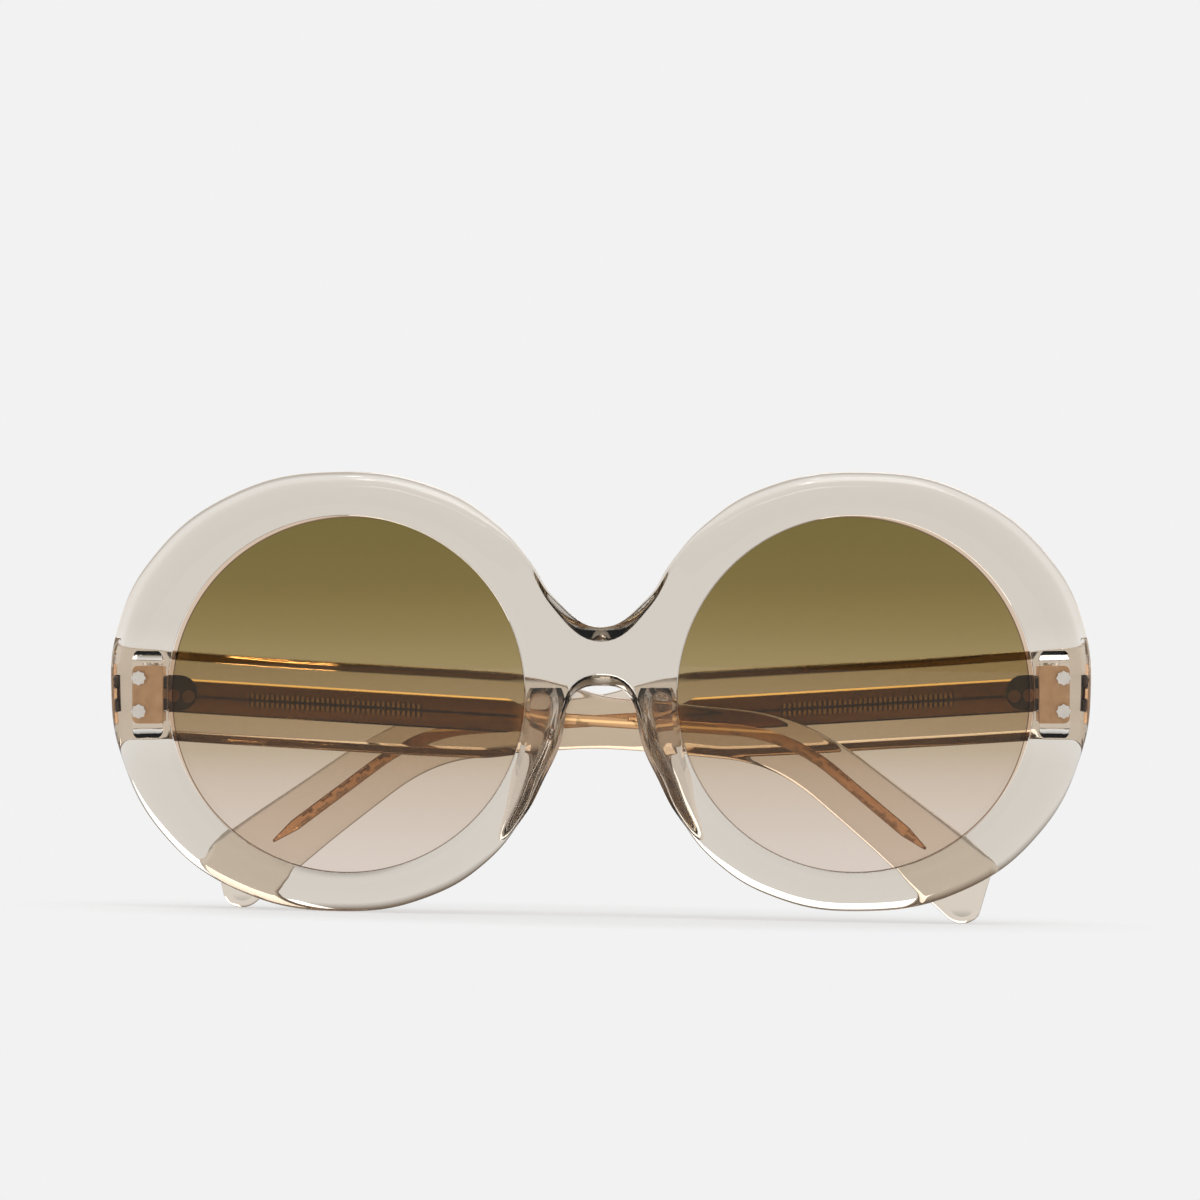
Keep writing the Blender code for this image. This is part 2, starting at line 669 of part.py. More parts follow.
def make_hinge_studs(side, carrier):
    """The two studs with notched heads that hold a hinge's anchor block in the acetate."""
    seat = seat_y()
    head_middle = seat - ANCHOR_DEPTH - STUD_REACH_DEPTH + STUD_HEAD_HEIGHT / 2
    for place, (across, up) in zip(STUD_NAMES, stud_places()):
        shank = pin_mesh("shank", STUD_SHANK_RADIUS, seat, head_middle, across, up)
        lobes = []
        for number in range(2 * STUD_LOBES):
            angle = math.pi * number / STUD_LOBES
            radius = STUD_HEAD_RADIUS * lobe_share(number)
            lobes.append((radius * math.cos(angle), radius * math.sin(angle)))
        head = flat_mesh("head", [lobes], STUD_HEAD_HEIGHT)
        upright(head)
        head.transform(Matrix.Translation((across, head_middle, up)))
        mesh = to_side(joined_mesh("stud", shank, head), side)
        mesh.transform(hinge_frame(side, WRAP_ANGLE))
        add_object(f"hinge_stud_{place}_{side}", mesh, carrier, GOLD)


def lobe_share(number):
    """How far out a stud head's outline lies at a corner: a lobe, or the notch after it."""
    return STUD_NOTCH_SHARE if number % 2 else 1.0


def joined_mesh(name, first, second):
    """Two overlapping bodies as one."""
    body = bpy.data.objects.new(name, first)
    tool = bpy.data.objects.new(name + "_tool", second)
    for obj in (body, tool):
        bpy.context.scene.collection.objects.link(obj)
    boolean(body, tool, "UNION")
    bpy.context.view_layer.update()
    evaluated = body.evaluated_get(bpy.context.evaluated_depsgraph_get())
    mesh = bpy.data.meshes.new_from_object(evaluated)
    for obj in (body, tool):
        bpy.data.objects.remove(obj, do_unlink=True)
    return mesh


def make_hinge_screw(side, carrier):
    """The slotted screw through the five barrels, put in from above."""
    top = HINGE_HEIGHT / 2 + FIT_GAP
    crown = top + SCREW_HEAD_HEIGHT
    profile = [
        (0.0, crown), (SCREW_HEAD_RADIUS, crown), (SCREW_HEAD_RADIUS, top), (SCREW_RADIUS, top),
        (SCREW_RADIUS, -HINGE_HEIGHT / 2), (0.0, -HINGE_HEIGHT / 2),
    ]
    mesh = turned("hinge_screw_" + side, profile, PIN_STEPS)
    mesh.transform(hinge_frame(side))
    screw = add_object("hinge_screw_" + side, mesh, carrier, GOLD)
    half = SCREW_SLOT_WIDTH / 2
    reach = SCREW_HEAD_RADIUS + CUT_OVERRUN_LENGTH
    floor = crown - SCREW_HEAD_HEIGHT / 2
    slot = box_mesh("slot", (-half, -reach, floor), (half, reach, crown + CUT_OVERRUN_LENGTH))
    slot.transform(hinge_frame(side))
    boolean(screw, add_cutter("screw_slot_cutter_" + side, slot, carrier))
    return screw


def temple_length(side):
    """Length of a temple's middle line from the hinge axis to its tip."""
    return TEMPLE_RUN_LENGTH + EAR_BEND_RADIUS * (EAR_DROP[side] - TEMPLE_SLOPE) + TEMPLE_TAIL_LENGTH


def temple_line(distance, side):
    """Back, up and downward heading on a temple's middle line: a straight run, the ear's bend and a tail."""
    drop = EAR_DROP[side]
    if distance <= TEMPLE_RUN_LENGTH:
        up = -TEMPLE_DROP_HEIGHT - distance * math.sin(TEMPLE_SLOPE)
        return distance * math.cos(TEMPLE_SLOPE), up, TEMPLE_SLOPE
    heading = min(TEMPLE_SLOPE + (distance - TEMPLE_RUN_LENGTH) / EAR_BEND_RADIUS, drop)
    bend_reach = EAR_BEND_RADIUS * (math.sin(heading) - math.sin(TEMPLE_SLOPE))
    back = TEMPLE_RUN_LENGTH * math.cos(TEMPLE_SLOPE) + bend_reach
    bend_drop = EAR_BEND_RADIUS * (math.cos(TEMPLE_SLOPE) - math.cos(heading))
    up = -TEMPLE_DROP_HEIGHT - TEMPLE_RUN_LENGTH * math.sin(TEMPLE_SLOPE) - bend_drop
    tail = distance - TEMPLE_RUN_LENGTH - EAR_BEND_RADIUS * (heading - TEMPLE_SLOPE)
    return back + tail * math.cos(heading), up - tail * math.sin(heading), heading


def off_line(distance, reach, side):
    """A point above or below a temple's middle line, square to it."""
    back, up, heading = temple_line(distance, side)
    return back + reach * math.sin(heading), up + reach * math.cos(heading)


def tip_corner(side, upper, radius):
    """The rounded corner at a temple's tip, from the edge round to the end."""
    length = temple_length(side) + (-TIP_SLANT_LENGTH if upper else TIP_SLANT_LENGTH)
    reach = TEMPLE_SHAPE_SHARES[-1][1 if upper else 2] * TEMPLE_HEIGHT - radius
    centre = off_line(length - radius, reach if upper else -reach, side)
    heading = temple_line(length, side)[2]
    if upper:
        return arc(centre, radius, math.pi / 2 - heading, -heading, TIP_CORNER_STEPS)
    return arc(centre, radius, -heading, -math.pi / 2 - heading, TIP_CORNER_STEPS)


def temple_outline(side):
    """A temple seen from its side: back and up from the hinge axis."""
    length = temple_length(side)
    upper = [(-TEMPLE_LEAD, TEMPLE_SHAPE_SHARES[0][1] * TEMPLE_HEIGHT)]
    lower = [(-TEMPLE_LEAD, -TEMPLE_SHAPE_SHARES[0][2] * TEMPLE_HEIGHT)]
    for share in TEMPLE_STATION_SHARES:
        if share * length > length - TIP_SLANT_LENGTH - TIP_LOWER_RADIUS:
            continue
        above, below = smooth_row(TEMPLE_SHAPE_SHARES, share)
        upper.append(off_line(share * length, above * TEMPLE_HEIGHT, side))
        lower.append(off_line(share * length, -below * TEMPLE_HEIGHT, side))
    corners = tip_corner(side, True, TIP_UPPER_RADIUS) + tip_corner(side, False, TIP_LOWER_RADIUS)
    return upper + corners + list(reversed(lower))


def beside_axis(mesh, inner, thickness):
    """Turn a side view into a piece beside the hinge axis, its inner face at a distance outboard."""
    turn = Matrix(((0.0, 0.0, 1.0), (1.0, 0.0, 0.0), (0.0, 1.0, 0.0))).to_4x4()
    mesh.transform(Matrix.Translation((inner + thickness / 2, 0.0, 0.0)) @ turn)
    return mesh


def shape_temple(side):
    """Thin the temple towards its tip on its outer face, and mitre its end to the front's slant."""
    length = temple_line(temple_length(side), side)[0]

    def rule(point):
        x, y, z = point
        thinning = (1 - TEMPLE_TAIL_THICKNESS / TEMPLE_THICKNESS) * y / length
        x = TEMPLE_OFFSET_WIDTH + (x - TEMPLE_OFFSET_WIDTH) * (1 - thinning)
        y += x * WRAP_SLOPE * max(-y / TEMPLE_LEAD, 0.0)
        return Vector((x, y, z))

    return rule


def core_outline(side, gap, start):
    """A core wire seen from its side: a strip that narrows to a wire with a point, grown by a gap."""
    strip = CORE_STRIP_HEIGHT / 2
    wire = CORE_WIRE_HEIGHT / 2
    taper_end = CORE_STRIP_LENGTH + CORE_TAPER_LENGTH
    point_start = CORE_LENGTH - CORE_POINT_LENGTH
    bend_end = temple_length(side) - TEMPLE_TAIL_LENGTH
    bends = [d for d in np.linspace(TEMPLE_RUN_LENGTH, bend_end, CORE_BEND_STEPS + 1) if d < point_start]
    stations = [(start, strip), (CORE_STRIP_LENGTH, strip), (taper_end, wire)]
    stations += [(d, wire) for d in bends]
    stations += [(point_start, wire), (CORE_LENGTH + gap, CORE_POINT_SHARE * wire)]
    upper = [off_line(d, half + gap, side) for d, half in stations]
    lower = [off_line(d, -half - gap, side) for d, half in stations]
    return upper + list(reversed(lower))


def plate_outline(gap, start):
    """The temple hinge's plate seen from its side, with a round far end, grown by a gap."""
    half = PLATE_HEIGHT / 2 + gap
    end = PLATE_LENGTH + gap
    far = arc((end - half, 0.0), half, -math.pi / 2, math.pi / 2, BARREL_STEPS // 2)
    return [(start, half), (start, -half)] + far


def rivet_places(side):
    """Back and up for the two rivets of a temple hinge."""
    return [off_line(RIVET_START_LENGTH + k * RIVET_SPACING, 0.0, side) for k in range(2)]


def core_face():
    """How far outboard of the hinge axis the core wire's inner face lies."""
    return TEMPLE_OFFSET_WIDTH + CORE_INSET_DEPTH


def make_temple(side, hinge):
    """A temple with the cavity of its core wire, open at the hinge end, and the pocket of its hinge plate."""
    mesh = flat_mesh("temple_" + side, [temple_outline(side)], TEMPLE_THICKNESS, TEMPLE_EDGE_RADIUS, 1)
    beside_axis(mesh, TEMPLE_OFFSET_WIDTH, TEMPLE_THICKNESS)
    reshape(mesh, shape_temple(side))
    temple = add_object("temple_" + side, to_side(mesh, side), hinge, ACETATE)
    beyond = -TEMPLE_LEAD - CUT_OVERRUN_LENGTH
    cavity = flat_mesh("cavity", [core_outline(side, FIT_GAP, beyond)], CORE_THICKNESS + 2 * FIT_GAP)
    beside_axis(cavity, core_face() - FIT_GAP, CORE_THICKNESS + 2 * FIT_GAP)
    boolean(temple, add_cutter("core_cavity_cutter_" + side, to_side(cavity, side), hinge))
    depth = PLATE_INSET_DEPTH + PLATE_THICKNESS + FIT_GAP + CUT_OVERRUN_LENGTH
    pocket = flat_mesh("pocket", [plate_outline(FIT_GAP, beyond)], depth)
    beside_axis(pocket, TEMPLE_OFFSET_WIDTH - CUT_OVERRUN_LENGTH, depth)
    boolean(temple, add_cutter("hinge_plate_cutter_" + side, to_side(pocket, side), hinge))
    return temple


def make_core_wire(side, hinge):
    """The metal core of a temple, with two rivet holes in its strip."""
    holes = [circle(place, RIVET_RADIUS + FIT_GAP, PIN_STEPS) for place in rivet_places(side)]
    outline = core_outline(side, 0.0, CORE_START_LENGTH)
    mesh = flat_mesh("core_wire_" + side, [outline] + holes, CORE_THICKNESS)
    beside_axis(mesh, core_face(), CORE_THICKNESS)
    return add_object("core_wire_" + side, to_side(mesh, side), hinge, GOLD)


def make_temple_hinge(side, hinge):
    """The hinge leaf on a temple: a riveted plate with a round end and two knuckles."""
    inner = TEMPLE_OFFSET_WIDTH + PLATE_INSET_DEPTH
    holes = [circle(place, RIVET_RADIUS + FIT_GAP, PIN_STEPS) for place in rivet_places(side)]
    outline = plate_outline(0.0, -BARREL_RADIUS - LEAF_LIP_WIDTH)
    mesh = flat_mesh("temple_hinge_" + side, [outline] + holes, PLATE_THICKNESS)
    beside_axis(mesh, inner, PLATE_THICKNESS)
    leaf = add_object("temple_hinge_" + side, to_side(mesh, side), hinge, DARK_STEEL)
    into_plate = inner + KNUCKLE_BITE_SHARE * PLATE_THICKNESS
    corners = [(into_plate, -BARREL_RADIUS), (into_plate, BARREL_RADIUS)]
    for number in range(1, KNUCKLE_COUNT, 2):
        knuckle = knuckle_mesh(f"temple_knuckle_{side}_{number}", number, math.pi / 2, corners)
        boolean(leaf, add_cutter(knuckle.name, to_side(knuckle, side), hinge), "UNION")
    return leaf


def make_temple_rivets(side, hinge):
    """The two rivets through a hinge plate and the core wire behind it."""
    tail = core_face() + CORE_THICKNESS
    seat = TEMPLE_OFFSET_WIDTH + PLATE_INSET_DEPTH - FIT_GAP
    profile = [
        (0.0, tail), (RIVET_RADIUS, tail), (RIVET_RADIUS, seat), (RIVET_HEAD_RADIUS, seat),
        (RIVET_HEAD_RADIUS, seat - RIVET_HEAD_HEIGHT), (0.0, seat - RIVET_HEAD_HEIGHT),
    ]
    for place, (back, up) in zip(RIVET_NAMES, rivet_places(side)):
        rivet = turned("rivet", profile, PIN_STEPS)
        rivet.transform(Matrix.Translation((0.0, back, up)) @ Matrix.Rotation(math.pi / 2, 4, "Y"))
        add_object(f"temple_rivet_{place}_{side}", to_side(rivet, side), hinge, GOLD)


def world_points():
    """Every point of every piece, in world space."""
    bpy.context.view_layer.update()
    graph = bpy.context.evaluated_depsgraph_get()
    points = []
    for obj in PARTS.objects:
        if obj.type == "MESH":
            evaluated = obj.evaluated_get(graph)
            points += [evaluated.matrix_world @ vertex.co for vertex in evaluated.data.vertices]
    return points


def stand_on_ground(glasses):
    """Stand the folded glasses on the three lowest places that carry them, over the origin."""
    points = world_points()
    hull = bmesh.new()
    for point in points:
        hull.verts.new(point)
    bmesh.ops.convex_hull(hull, input=hull.verts)
    bmesh.ops.delete(hull, geom=[v for v in hull.verts if not v.link_faces], context="VERTS")
    hull.normal_update()
    tree = BVHTree.FromBMesh(hull)
    centre = sum(points, Vector()) / len(points)
    _, normal, _, _ = tree.ray_cast(centre, Vector((0.0, 0.0, -1.0)))
    hull.free()
    if normal.z > 0:
        normal.negate()
    lean = normal.rotation_difference(Vector((0.0, 0.0, -1.0)))
    glasses.rotation_mode = "QUATERNION"
    glasses.rotation_quaternion = lean
    turned_points = np.array([lean @ point for point in points])
    low = turned_points.min(axis=0)
    high = turned_points.max(axis=0)
    glasses.location = (-(low[0] + high[0]) / 2, -(low[1] + high[1]) / 2, -low[2])


def build():
    """Build every piece of the glasses."""
    glasses = bpy.data.objects.new("glasses", None)
    PARTS.objects.link(glasses)
    make_front(glasses)
    for side, sign in SIDES.items():
        make_lens(side, glasses)
        make_nose_pad(side, glasses)
        make_front_hinge(side, glasses)
        make_hinge_studs(side, glasses)
        make_hinge_screw(side, glasses)
        hinge = bpy.data.objects.new("hinge_axis_" + side, None)
        PARTS.objects.link(hinge)
        hinge.parent = glasses
        hinge.location = (sign * HINGE_X, HINGE_Y, -HINGE_DROP_HEIGHT)
        hinge.rotation_euler = (0.0, 0.0, sign * FOLD_ANGLE[side])
        make_temple(side, hinge)
        make_core_wire(side, hinge)
        make_temple_hinge(side, hinge)
        make_temple_rivets(side, hinge)
    stand_on_ground(glasses)


clear_scene()
PARTS = collection("sunglasses")
CUTTERS = collection("cutters")
build()
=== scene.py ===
"""Looks of the folded round sunglasses: clear acetate, graduated lenses, metal cores and a pale studio."""
import json
import logging
import math
from collections.abc import Callable, Sequence
from dataclasses import dataclass
from enum import Enum

import bmesh
import bpy
import numpy as np
from mathutils import Matrix, Vector
from mathutils.geometry import delaunay_2d_cdt

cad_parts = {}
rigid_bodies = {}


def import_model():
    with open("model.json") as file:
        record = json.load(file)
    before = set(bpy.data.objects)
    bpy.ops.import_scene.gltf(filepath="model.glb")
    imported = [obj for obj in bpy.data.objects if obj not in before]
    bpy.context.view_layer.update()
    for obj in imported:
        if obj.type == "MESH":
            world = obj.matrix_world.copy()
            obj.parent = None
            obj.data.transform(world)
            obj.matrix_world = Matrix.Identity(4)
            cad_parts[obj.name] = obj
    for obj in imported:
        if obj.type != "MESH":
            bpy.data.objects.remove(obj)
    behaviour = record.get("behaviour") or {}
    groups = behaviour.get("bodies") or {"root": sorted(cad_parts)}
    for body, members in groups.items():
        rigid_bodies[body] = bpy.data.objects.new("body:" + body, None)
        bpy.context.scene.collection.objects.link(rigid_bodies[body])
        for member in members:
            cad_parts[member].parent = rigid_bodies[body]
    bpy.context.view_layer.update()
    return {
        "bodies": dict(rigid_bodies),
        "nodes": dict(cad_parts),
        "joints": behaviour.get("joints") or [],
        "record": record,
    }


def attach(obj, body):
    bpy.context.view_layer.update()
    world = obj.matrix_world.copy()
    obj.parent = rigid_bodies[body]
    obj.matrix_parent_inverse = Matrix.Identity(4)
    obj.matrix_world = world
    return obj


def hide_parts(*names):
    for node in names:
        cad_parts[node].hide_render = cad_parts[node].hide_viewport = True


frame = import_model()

LOG = logging.getLogger("sunglasses")
MM = 0.001
WRAP_SLOPE = math.tan(math.radians(4.7))
LEAST_POINTS = 12
CLEAR_SHARE = 0.985
NET_ROW_RISE = 0.866
NET_CLEARANCE = 0.55
MERGE_DISTANCE = 1e-5
POINTS_AT_ONCE = 1500
LEAST_LENGTH = 1e-18

Loop = np.ndarray
Point = tuple[float, float]
Size = tuple[float, float, float]
Colour = tuple[float, float, float]
Curve = tuple[Point, ...]
Stops = Sequence[tuple[float, Colour]]
Inputs = dict[str | int, object]
Mesh = bpy.types.Mesh
Socket = bpy.types.NodeSocket


class Side(Enum):
    """The two sides as the viewer sees them, with the sign of x there."""

    LEFT = -1
    RIGHT = 1

    @property
    def word(self) -> str:
        """The side's name as the nodes have it."""
        return self.name.lower()


# Small geometry helpers.


def smooth_step(value: np.ndarray | float) -> np.ndarray | float:
    """Ease a share from 0 to 1 at both ends.

    Args:
        value: The share, or many of them.

    Returns:
        The eased share.
    """
    share = np.clip(value, 0.0, 1.0)
    return share * share * (3 - 2 * share)


def smooth_row(rows: Sequence[Sequence[float]], place: float) -> list[float]:
    """Read a table of shares along a smooth curve through its rows.

    Args:
        rows: Place and values, in rising order of place.
        place: Where to read.

    Returns:
        The values there.
    """
    places = [row[0] for row in rows]
    last = len(rows) - 2
    i = min(max(int(np.searchsorted(places, place)) - 1, 0), last)
    before, start, end = rows[max(i - 1, 0)], rows[i], rows[i + 1]
    after = rows[min(i + 2, last + 1)]
    span = end[0] - start[0]
    t = (place - start[0]) / span
    values = []
    for k in range(1, len(start)):
        rate_start = (end[k] - before[k]) / (end[0] - before[0])
        rate_end = (after[k] - start[k]) / (after[0] - start[0])
        values.append(
            (2 * t**3 - 3 * t**2 + 1) * start[k] + (t**3 - 2 * t**2 + t) * span * rate_start
            + (3 * t**2 - 2 * t**3) * end[k] + (t**3 - t**2) * span * rate_end
        )
    return values


def arc(centre: Point, radius: float, start: float, end: float, steps: int) -> list[Point]:
    """Points along an arc.

    Args:
        centre: The arc's middle.
        radius: Its radius.
        start: First angle in radians.
        end: Last angle in radians.
        steps: How many stretches it has.

    Returns:
        The points, one more than the steps.
    """
    angles = np.linspace(start, end, steps + 1)
    return [(centre[0] + radius * math.cos(a), centre[1] + radius * math.sin(a)) for a in angles]


def circle(centre: Point, radius: float, steps: int) -> list[Point]:
    """Points around a circle.

    Args:
        centre: Its middle.
        radius: Its radius.
        steps: How many points it has.

    Returns:
        The points, anticlockwise.
    """
    return arc(centre, radius, 0.0, math.tau * (steps - 1) / steps, steps - 1)


def even_loop(points: Sequence[Point], spacing: float) -> Loop:
    """Spread points evenly round a closed outline.

    Args:
        points: The outline's corners in order.
        spacing: The wished distance between points.

    Returns:
        The evenly spread points.
    """
    closed = np.array(list(points) + [points[0]], float)
    steps = np.linalg.norm(np.diff(closed, axis=0), axis=1)
    along = np.concatenate([[0.0], np.cumsum(steps)])
    count = max(int(round(along[-1] / spacing)), LEAST_POINTS)
    wanted = np.linspace(0.0, along[-1], count, endpoint=False)
    return np.stack([np.interp(wanted, along, closed[:, k]) for k in range(2)], axis=1)


def smooth_loop(name: str, knots: Sequence[Point], steps: int) -> list[Point]:
    """A closed smooth curve through its knots.

    Args:
        name: A name for the curve while it is drawn.
        knots: The points it runs through.
        steps: Stretches between two knots.

    Returns:
        The points of the curve.
    """
    curve = bpy.data.curves.new(name, "CURVE")
    curve.dimensions = "2D"
    curve.fill_mode = "NONE"
    spline = curve.splines.new("BEZIER")
    spline.bezier_points.add(len(knots) - 1)
    for knot, (x, y) in zip(spline.bezier_points, knots):
        knot.co = (x, y, 0.0)
        knot.handle_left_type = "AUTO"
        knot.handle_right_type = "AUTO"
    spline.resolution_u = steps
    spline.use_cyclic_u = True
    guide = put(name, curve)
    mesh = settled(guide)
    points = [(v.co.x, v.co.y) for v in mesh.vertices]
    bpy.data.objects.remove(guide)
    bpy.data.meshes.remove(mesh)
    return points


def put(name: str, data: bpy.types.ID) -> bpy.types.Object:
    """Put a mesh, curve, lamp or camera in the scene.

    Args:
        name: The object's name.
        data: What it shows.

    Returns:
        The object.
    """
    obj = bpy.data.objects.new(name, data)
    bpy.context.scene.collection.objects.link(obj)
    return obj


def settled(obj: bpy.types.Object) -> Mesh:
    """A new mesh of an object as its modifiers leave it."""
    bpy.context.view_layer.update()
    return bpy.data.meshes.new_from_object(obj.evaluated_get(bpy.context.evaluated_depsgraph_get()))


def closed_mesh(name: str, corners: Sequence[Size], faces: Sequence[Sequence[int]]) -> Mesh:
    """Make a closed mesh whose faces look outward.

    Args:
        name: The mesh's name.
        corners: Its corners.
        faces: The corners of each face, by number.

    Returns:
        The mesh.
    """
    mesh = bpy.data.meshes.new(name)
    mesh.from_pydata(corners, [], faces)
    work = bmesh.new()
    work.from_mesh(mesh)
    bmesh.ops.recalc_face_normals(work, faces=work.faces)
    work.to_mesh(mesh)
    work.free()
    return mesh


def band(first: Sequence[int], second: Sequence[int]) -> list[tuple[int, ...]]:
    """Faces between two rings of corners.

    Args:
        first: The corners of one ring, by number, or a single one.
        second: The corners of the next ring, or a single one.

    Returns:
        The faces.
    """
    faces: list[tuple[int, ...]] = []
    size = max(len(first), len(second))
    for i in range(size):
        j = (i + 1) % size
        if len(first) == 1:
            faces.append((first[0], second[j], second[i]))
        elif len(second) == 1:
            faces.append((first[i], first[j], second[0]))
        else:
            faces.append((first[i], first[j], second[j], second[i]))
    return faces


def signed_area(loop: Loop) -> float:
    """Twice the area that a loop encloses, positive when it runs anticlockwise."""
    after = np.roll(loop, -1, axis=0)
    return float(np.sum(loop[:, 0] * after[:, 1] - after[:, 0] * loop[:, 1]))


def inside(points: np.ndarray, loop: Loop) -> np.ndarray:
    """Which points lie inside a loop.

    Args:
        points: The points to test.
        loop: The closed outline.

    Returns:
        A true or false value for each point.
    """
    x, y = points[:, 0][:, None], points[:, 1][:, None]
    after = np.roll(loop, -1, axis=0)
    crosses = (loop[:, 1] > y) != (after[:, 1] > y)
    rise = np.where(after[:, 1] == loop[:, 1], 1.0, after[:, 1] - loop[:, 1])
    at = (after[:, 0] - loop[:, 0]) * (y - loop[:, 1]) / rise + loop[:, 0]
    return (np.sum(crosses & (x < at), axis=1) % 2) == 1


def reach_from(points: np.ndarray, loop: Loop) -> np.ndarray:
    """How far each point lies from a loop.

    Args:
        points: The points to measure.
        loop: The closed outline.

    Returns:
        The distances.
    """
    along = np.roll(loop, -1, axis=0) - loop
    length = np.maximum(np.sum(along * along, axis=1), LEAST_LENGTH)
    best = np.empty(len(points))
    for start in range(0, len(points), POINTS_AT_ONCE):
        rows = slice(start, start + POINTS_AT_ONCE)
        part = points[rows, None, :] - loop[None]
        t = np.clip(np.sum(part * along, axis=2) / length, 0.0, 1.0)
        gap = part - t[..., None] * along
        best[rows] = np.sqrt(np.min(np.sum(gap * gap, axis=2), axis=1))
    return best


@dataclass
class Slab:
    """A plate cut to an outline with holes, whose two faces roll over at the edges.

    The outline is drawn in two directions, and the third one, the depth, runs from the front face back.
    """

    outline: Loop
    holes: list[Loop]
    front_depth: Callable[[np.ndarray, np.ndarray, np.ndarray], np.ndarray]
    back_depth: Callable[[np.ndarray, np.ndarray, np.ndarray], np.ndarray]
    rings: Sequence[float]
    spacing: float
    hole_walls: Sequence[Point] = ()

    def _rows_inside(self, loop: Loop, inward: float, loops: list[Loop]) -> list[np.ndarray]:
        """Rows of points beside a loop, at the distances in rings.

        Args:
            loop: The edge to follow.
            inward: 1 where material lies to the left of the loop, and -1 to its right.
            loops: Every edge of the plate.

        Returns:
            A row of points for each distance.
        """
        heading = np.roll(loop, -1, axis=0) - np.roll(loop, 1, axis=0)
        heading /= np.linalg.norm(heading, axis=1)[:, None]
        normal = np.stack([-heading[:, 1], heading[:, 0]], axis=1) * inward
        rows = []
        for distance in self.rings:
            row = loop + normal * distance
            gap = np.min([reach_from(row, other) for other in loops], axis=0)
            rows.append(row[gap > distance * CLEAR_SHARE])
        return rows

    def _net(self) -> tuple[np.ndarray, list[tuple[int, int, int]]]:
        """Lay the plate's flat net.

        Returns:
            Its points, edges first, and its triangles.
        """
        loops = [self.outline] + self.holes
        turn = 1.0 if signed_area(self.outline) > 0 else -1.0
        rows = self._rows_inside(self.outline, turn, loops)
        for hole in self.holes:
            turn = -1.0 if signed_area(hole) > 0 else 1.0
            rows += self._rows_inside(hole, turn, loops)
        low, high = self.outline.min(axis=0), self.outline.max(axis=0)
        across = np.arange(low[0], high[0], self.spacing)
        up = np.arange(low[1], high[1], self.spacing * NET_ROW_RISE)
        grid = np.array([
            (x + (j % 2) * self.spacing / 2, y) for j, y in enumerate(up) for x in across
        ])
        grid = grid[inside(grid, self.outline)]
        for hole in self.holes:
            grid = grid[~inside(grid, hole)]
        clear = np.min([reach_from(grid, loop) for loop in loops], axis=0)
        rows.append(grid[clear > self.rings[-1] + self.spacing * NET_CLEARANCE])
        points = np.concatenate(loops + rows)
        edges = []
        start = 0
        for loop in loops:
            edges += [(start + i, start + (i + 1) % len(loop)) for i in range(len(loop))]
            start += len(loop)
        scaled = [Vector(point) for point in points / MM]
        found, _, faces, origin, _, _ = delaunay_2d_cdt(scaled, edges, [], 0, MERGE_DISTANCE)
        if len(found) != len(points):
            raise ValueError("The plate's net has points that fall together")
        place = [own[0] for own in origin]
        triangles = np.array([[place[i] for i in face] for face in faces if len(face) == 3])
        middle = points[triangles].mean(axis=1)
        keep = inside(middle, self.outline)
        for hole in self.holes:
            keep &= ~inside(middle, hole)
        return points, [tuple(row) for row in triangles[keep]]

    def mesh(self, name: str) -> Mesh:
        """Build the plate, drawn in X and Z with its depth along Y.

        Args:
            name: The mesh's name.

        Returns:
            The closed mesh.
        """
        points, triangles = self._net()
        from_outline = reach_from(points, self.outline)
        from_hole = np.full(len(points), 1.0)
        for hole in self.holes:
            from_hole = np.minimum(from_hole, reach_from(points, hole))
        edge_count = len(self.outline)
        from_outline[:edge_count] = 0.0
        front = self.front_depth(points, from_outline, from_hole)
        back = self.back_depth(points, from_outline, from_hole)
        corners = [(x, y, z) for (x, z), y in zip(points, front)]
        corners += [(x, y, z) for (x, z), y in zip(points, back)]
        count = len(points)
        faces = [(a, b, c) for a, b, c in triangles]
        faces += [(c + count, b + count, a + count) for a, b, c in triangles]
        start = 0
        for number, loop in enumerate([self.outline] + self.holes):
            size = len(loop)
            rows = [list(range(start, start + size))]
            if number:
                middle = loop.mean(axis=0)
                radius = float(np.linalg.norm(loop[0] - middle))
                for out, depth in self.hole_walls:
                    rows.append(list(range(len(corners), len(corners) + size)))
                    wide = middle + (loop - middle) * (1 + out / radius)
                    corners += [(x, depth, z) for x, z in wide]
            rows.append(list(range(start + count, start + count + size)))
            for first, second in zip(rows, rows[1:]):
                faces += band(first, second)
            start += size
        return closed_mesh(name, corners, faces)


def roll(distance: np.ndarray, radius: np.ndarray | float) -> np.ndarray:
    """How far a rounded edge falls back at a distance from it.

    Args:
        distance: The distances from the edge.
        radius: The edge's radius.

    Returns:
        The fall, which is the radius at the edge itself.
    """
    left = np.clip(radius - distance, 0.0, None)
    return radius - np.sqrt(np.clip(radius * radius - left * left, 0.0, None))


def reshape(mesh: Mesh, rule: Callable[[Vector], Vector]) -> None:
    """Move every point of a mesh by a rule.

    Args:
        mesh: The mesh.
        rule: Where a point goes.
    """
    for vertex in mesh.vertices:
        vertex.co = rule(vertex.co.copy())
    mesh.update()


def to_side(mesh: Mesh, side: Side) -> Mesh:
    """Mirror a mesh drawn for the right side when it is for the left one.

    Args:
        mesh: The mesh.
        side: Where it goes.

    Returns:
        The same mesh.
    """
    if side is Side.LEFT:
        mesh.transform(Matrix.Scale(-1.0, 4, Vector((1.0, 0.0, 0.0))))
        mesh.flip_normals()
    return mesh


